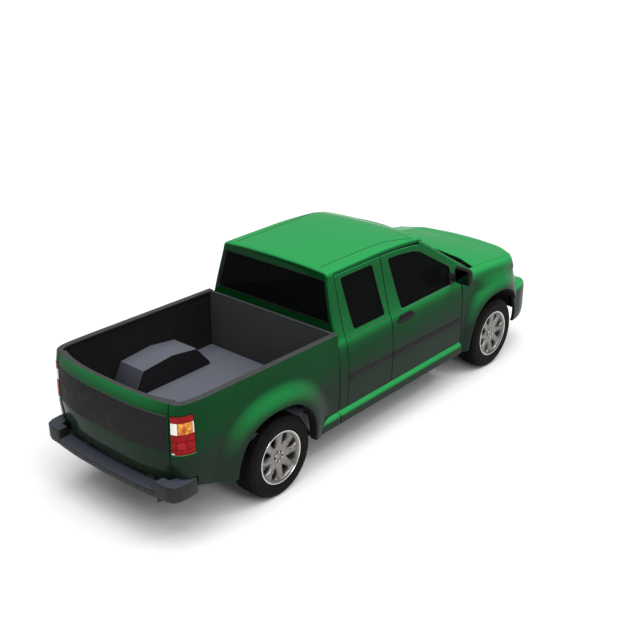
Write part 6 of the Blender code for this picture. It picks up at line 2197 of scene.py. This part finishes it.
# ---- cabin ------------------------------------------------------------------
@dataclass
class Cabin:
    """Seats, dashboard and steering wheel."""

    wheel: Point = (0.360, -0.760, 0.985)
    tilt: float = math.radians(25.0)
    wheel_radius: float = 0.178

    def pad(self, name: str, centre: Point, half: Point, lean: float, channels: int,
            fill: float, stands_for: Sequence[str] = ()) -> None:
        """A crowned seat pad with pulled-in sides, sewn channels and a piped edge.

        Args:
            name: name of the piece.
            centre: middle of the pad.
            half: half sizes across, along the lean and through.
            lean: turn about X in radians; 0 lies flat, a quarter turn stands up.
            channels: number of sewn lines on the crowned face.
            fill: not used; meant as how tight the stuffing is.
            stands_for: nodes it replaces.
        """
        a, b, c = half
        cols, rows = 28, 22
        points: list[Point] = []
        for layer in (1.0, -1.0):
            for i in range(rows + 1):
                for j in range(cols + 1):
                    u, v = -1 + 2 * j / cols, -1 + 2 * i / rows
                    pull = 1 - 0.035 * (1 - abs(v)) * (abs(u) > 0.96)
                    crown = ((1 - u ** 6) * (1 - v ** 6)) ** 0.45
                    z = layer * c * crown
                    if layer > 0 and channels:
                        sewn = abs(math.sin(math.pi * (u * 0.5 + 0.5) * channels))
                        z -= 0.007 * math.exp(-(sewn / 0.16) ** 2) * (abs(u) < 0.93) * crown
                        z -= 0.006 * math.exp(-((abs(u) - 0.80) / 0.03) ** 2) * crown
                    points.append((u * a * pull, v * b * (1 - 0.02 * (abs(v) > 0.96)), z))
        cosine, sine = math.cos(lean), math.sin(lean)

        def put(p: Point) -> Point:
            """Turn and place a point of the pad."""
            return (centre[0] + p[0], centre[1] + p[1] * cosine - p[2] * sine,
                    centre[2] + p[1] * sine + p[2] * cosine)
        count = (rows + 1) * (cols + 1)
        outer = [[put(points[i * (cols + 1) + j]) for j in range(cols + 1)] for i in range(rows + 1)]
        under = [[put(points[count + i * (cols + 1) + j]) for j in range(cols + 1)]
                 for i in range(rows + 1)]
        edge = [(a * math.copysign(min(abs(u), 1.0), u), b * v) for u, v in self.rim_outline()]
        piece = Piece(name, "body", stands_for, "cloth")
        piece.put(slab(outer, under), CLOTH)
        piece.put(tube([put((x * 0.992, y * 0.992, 0.0)) for x, y in edge], 0.004, 6, True), TRIM)
        item = piece.build(angle=60.0)
        change = item.modifiers.new("soften", "SUBSURF")
        change.levels = change.render_levels = 1

    def rim_outline(self) -> list[Flat]:
        """Outline of a pad's piping on a unit square."""
        return oblong((-1, -1), (1, 1), 0.10, 5)

    def seats(self) -> None:
        """Front seats, rear bench and the console between."""
        lean = math.radians(81.5)
        for word, x in (("left", 0.345), ("right", -0.345)):
            nodes = ["front_seats"] if word == "left" else []
            self.pad(f"front_cushion_{word}", (x, -0.300, 0.685), (0.246, 0.250, 0.046),
                     math.radians(-3.0), 4, 0.7, nodes)
            self.pad(f"front_backrest_{word}", (x, -0.012, 0.950), (0.232, 0.268, 0.050),
                     lean + math.radians(3.0), 4, 0.7)
            self.pad(f"head_rest_{word}", (x, 0.032, 1.300), (0.116, 0.086, 0.034), lean, 0, 0.8)
        self.pad("rear_cushion", (0.0, 0.485, 0.745), (0.598, 0.150, 0.034), 0.0, 6, 0.6, ["rear_seat"])
        self.pad("rear_backrest", (0.0, 0.606, 1.000), (0.590, 0.215, 0.030), math.radians(86.5), 6, 0.6)
        base = Piece("seat_frames", "body", (), "trim")
        for side in Side:
            base.put(block((0.130, -0.520, 0.5003), (0.560, -0.090, 0.640), 0.02).on(side), VINYL)
            for x in (0.300, 0.390):
                base.put(tube([(x, 0.026, 1.170), (x, 0.030, 1.250)], 0.006, 10).on(side), BRIGHT)
        base.put(block((-0.098, -0.480, 0.600), (0.098, -0.060, 0.738), 0.02), VINYL)
        base.put(block((-0.110, -0.500, 0.5003), (0.110, -0.080, 0.600), 0.01), VINYL)
        base.put(block((-0.590, 0.345, 0.5003), (0.590, 0.635, 0.708), 0.015), VINYL)
        base.build()

    def dashboard(self) -> None:
        """Dashboard with hooded gauges, vents, glove box and console."""
        piece = Piece("dash_board", "body", ["dashboard"], "trim")
        outline = [(-1.2047, 0.760), (-1.2047, 0.885), (-1.158, 0.895), (-1.158, 1.080), (-0.960, 1.092),
                   (-0.910, 1.050), (-0.900, 0.950), (-0.960, 0.860), (-1.000, 0.760)]
        soft = rounded(outline, 0.022, 4)
        rings = []
        for x in np.linspace(-0.658, 0.658, 41):
            hood = 0.010 * math.exp(-((x - 0.36) / 0.17) ** 4)
            rings.append([(x, y + (hood if y > -1.0 and z > 1.0 else 0.0), z) for y, z in soft])
        piece.put(loft(rings), VINYL)
        for side in Side:
            piece.put(prism(rounded([(-1.2047, 0.761), (-1.2047, 0.884), (-1.1705, 0.884),
                                     (-1.1705, 0.761)], 0.01), 0.6585, 0.688).on(side), VINYL)
        piece.put(block((-0.080, -1.020, 0.6403), (0.080, -0.700, 0.768), 0.02), VINYL)
        for x in (-0.56, -0.09, 0.09, 0.58):
            piece.put(block((x - 0.045, -0.906, 0.965), (x + 0.045, -0.897, 1.020), 0.006), BLACK)
        piece.put(block((-0.500, -0.925, 0.850), (-0.200, -0.9075, 0.950), 0.01), TRIM)
        piece.put(block((-0.085, -0.925, 0.860), (0.085, -0.8975, 0.955), 0.01), TRIM)
        knob = lathe([(0.0, 0.0), (0.016, 0.0), (0.015, 0.012), (0.0, 0.013)], 20, False)
        for x in (-0.05, 0.0, 0.05):
            piece.put(knob.placed(lambda p, x=x: (x + p[1], -0.898 + p[0], 0.905 + p[2])), BLACK)
        for x, r in ((0.31, 0.042), (0.41, 0.042), (0.36, 0.022)):
            z = 1.012 if r > 0.03 else 0.962
            dial = lathe([(0.0, 0.0), (r * 0.95, 0.0), (r, 0.002), (r * 1.05, 0.0), (r, -0.008),
                          (0.0, -0.008)], 32, False)
            piece.put(dial.placed(lambda p, x=x, z=z: (x + p[1], -0.8985 + p[0] - 0.10 * p[2], z + p[2])),
                      TRIM)
        piece.build(angle=40.0)

    def steering(self) -> None:
        """Steering wheel with its spokes and hub pad."""
        centre = Vector(self.wheel)
        along = Vector((0.0, math.cos(self.tilt), math.sin(self.tilt)))
        up = Vector((0.0, -math.sin(self.tilt), math.cos(self.tilt)))
        right = Vector((1.0, 0.0, 0.0))
        ring = [tuple(centre + (right * math.cos(t) + up * math.sin(t)) * self.wheel_radius)
                for t in np.linspace(0, 2 * math.pi, 64, endpoint=False)]
        piece = Piece("hand_wheel", "steering_wheel", ["steering_wheel"], "trim")
        piece.put(tube(ring, 0.013, 14, True), VINYL)
        piece.put(tube([tuple(centre - along * 0.050), tuple(centre - along * 0.046),
                        tuple(centre - along * 0.004), tuple(centre + along * 0.002)],
                       [0.050, 0.055, 0.055, 0.046], 32), VINYL)
        piece.put(tube([tuple(centre - along * 0.200), tuple(centre - along * 0.045)], 0.022, 16), BLACK)
        for turn in (0.0, math.pi, -math.pi / 2):
            out = right * math.cos(turn) + up * math.sin(turn)
            across = out.cross(along)
            rings = []
            for reach, half in ((0.030, 0.024), (0.08, 0.019), (0.13, 0.015), (0.172, 0.014)):
                middle = centre + out * reach - along * (0.012 * (1 - reach / 0.18))
                rings.append([tuple(middle + across * half * c + along * 0.006 * s)
                              for c, s in ((1, 0.3), (0.7, 1), (-0.7, 1), (-1, 0.3), (-1, -0.3),
                                           (-0.7, -1), (0.7, -1), (1, -0.3))])
            piece.put(loft(rings), VINYL)
        piece.build(angle=45.0)


# ---- chassis ----------------------------------------------------------------
@dataclass
class Chassis:
    """Frame parts that keep their shape from the frame model, and what is bolted on."""

    kept: tuple[tuple[str, Finish], ...] = (
        ("frame", STEEL), ("rear_axle", STEEL), ("exhaust", CAST), ("fuel_tank", BLACK),
        ("engine_block", CAST), ("knuckle_left", STEEL), ("knuckle_right", STEEL),
        ("spare_wheel", TYRE))

    def build(self) -> None:
        """Dress the kept parts and add springs, dampers and bolts."""
        for name, finish in self.kept:
            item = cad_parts[name]
            item.data.materials.clear()
            item.data.materials.append(finish.material())
            change = item.modifiers.new("worn_edges", "BEVEL")
            change.width, change.segments, change.limit_method = 0.002, 1, "ANGLE"
            change.angle_limit = math.radians(35.0)
            LOG.info("%s: kept from the frame", name)
        self.leaves()
        self.bolts()

    def leaves(self) -> None:
        """Spring leaves, clamps and rear dampers."""
        piece = Piece("leaf_springs", "body", (), "steel")
        for side in Side:
            for k, (a, b) in enumerate(((1.02, 1.88), (1.12, 1.78), (1.22, 1.68))):
                low = 0.3835 - 0.009 * k
                top = [(y, low + 0.020 * ((y - LINES.rear_axle_y) / 0.55) ** 2)
                       for y in np.linspace(a, b, 15)]
                foot = [(y, z - 0.007) for y, z in reversed(top)]
                piece.put(prism(top + foot, 0.457, 0.503, edge=0.001).on(side), STEEL)
            damper = tube([(0.345, 1.62, 0.300), (0.335, 1.66, 0.44)], 0.022, 16)
            rod = tube([(0.3345, 1.66, 0.44), (0.325, 1.69, 0.53)], 0.010, 12)
            piece.put([damper.on(side), rod.on(side)], BLACK)
        piece.build()

    def bolts(self) -> None:
        """Bolt heads along the frame rails."""
        head = lathe([(0.0, 0.008), (0.009, 0.007), (0.011, 0.004), (0.011, 0.0), (0.0, 0.0)], 6, False)
        spots = []
        for side in Side:
            for y in np.linspace(-0.80, 0.75, 9):
                for z in (0.385, 0.445):
                    spots.append(Spot((side.value * 0.430, y, z), side.turn))
            for y in np.linspace(-2.35, -1.50, 6):
                spots.append(Spot((side.value * 0.320, y, 0.53), side.turn))
        Repeat("frame_bolts", head, spots, CAST).build("body")


# ---- studio -----------------------------------------------------------------
@dataclass
class Studio:
    """Pale floor, soft lights and the camera."""

    azimuth: float = math.radians(220.7)
    height: float = math.radians(23.95)
    away: float = 9.76
    lens: float = 58.6

    def build(self) -> None:
        """Set up the studio."""
        data = bpy.data.meshes.new("studio_floor")
        data.from_pydata([(-40, -40, -0.0005), (40, -40, -0.0005), (40, 40, -0.0005),
                          (-40, 40, -0.0005)], [], [(0, 1, 2, 3)])
        data.materials.append(FLOOR.material())
        added("studio_floor", data)
        self.air()
        sun = bpy.data.lights.new("top_light", "SUN")
        sun.energy, sun.angle = 3.1, math.radians(70.0)
        item = added("top_light", sun)
        item.rotation_mode = "QUATERNION"
        item.rotation_quaternion = Vector((0.22, -0.10, -1.0)).to_track_quat("-Z", "Y")
        self.lamp("side_panel", (-7.5, 3.5, 5.2), (0.0, 0.8, 0.7), 2.5, 150.0)
        self.lamp("glint", (-5.0, -3.0, 7.0), (0.0, 0.0, 0.8), 0.3, 70.0)
        camera = added("view", bpy.data.cameras.new("view"))
        a, e = self.azimuth, self.height
        back = Vector((math.sin(a) * math.cos(e), -math.cos(a) * math.cos(e), math.sin(e)))
        right = Vector((math.cos(a), math.sin(a), 0.0))
        camera.location = Vector((0.0, 0.0, 0.868)) - right * 0.025 + back * self.away
        camera.rotation_mode = "QUATERNION"
        camera.rotation_quaternion = (-back).to_track_quat("-Z", "Y")
        camera.data.lens = self.lens
        bpy.context.scene.camera = camera
        bpy.context.scene.view_settings.view_transform = "Standard"

    def air(self) -> None:
        """Pale backdrop whose own light on the truck stays low."""
        world = bpy.data.worlds.new("studio_air")
        world.use_nodes = True
        nodes, links = world.node_tree.nodes, world.node_tree.links
        seen, soft = nodes["Background"], nodes.new("ShaderNodeBackground")
        seen.inputs[0].default_value = (0.97, 0.97, 0.97, 1.0)
        soft.inputs[0].default_value = (0.95, 0.97, 1.0, 1.0)
        soft.inputs[1].default_value = 0.38
        ray, mix = nodes.new("ShaderNodeLightPath"), nodes.new("ShaderNodeMixShader")
        links.new(ray.outputs["Is Camera Ray"], mix.inputs[0])
        links.new(soft.outputs[0], mix.inputs[1])
        links.new(seen.outputs[0], mix.inputs[2])
        links.new(mix.outputs[0], nodes["World Output"].inputs[0])
        bpy.context.scene.world = world

    def lamp(self, name: str, at: Point, aim: Point, size: float, power: float) -> None:
        """A soft square light aimed at a point.

        Args:
            name: name of the light.
            at: place of the light.
            aim: point it shines at.
            size: length of its sides.
            power: its power in watts.
        """
        data = bpy.data.lights.new(name, "AREA")
        data.size, data.energy = size, power
        item = added(name, data)
        item.location = at
        item.rotation_mode = "QUATERNION"
        item.rotation_quaternion = (Vector(aim) - Vector(at)).to_track_quat("-Z", "Y")


def main() -> None:
    """Build the truck's pieces in order."""
    logging.basicConfig(level=logging.INFO, format="%(message)s")
    Studio().build()
    bed = Bed()
    bed.floor()
    bed.fuel_door()
    Tailgate().build()
    RearBumper().build()
    cab = Cab()
    cab.build()
    front = FrontEnd()
    front.hood()
    front.front_bumper()
    front.grille()
    cabin = Cabin()
    cabin.seats()
    cabin.dashboard()
    cabin.steering()
    Chassis().build()
    wheel = Wheel()
    for side in Side:
        bed.side(side)
        TailLamp(bed).build(side)
        front.fender(side)
        front.headlight(side)
        for leading in (True, False):
            Door(leading).build(side)
        Mirror().build(side)
        wheel.build("front", side, LINES.front_axle_y)
        wheel.build("rear", side, LINES.rear_axle_y)


if __name__ == "__main__":
    main()
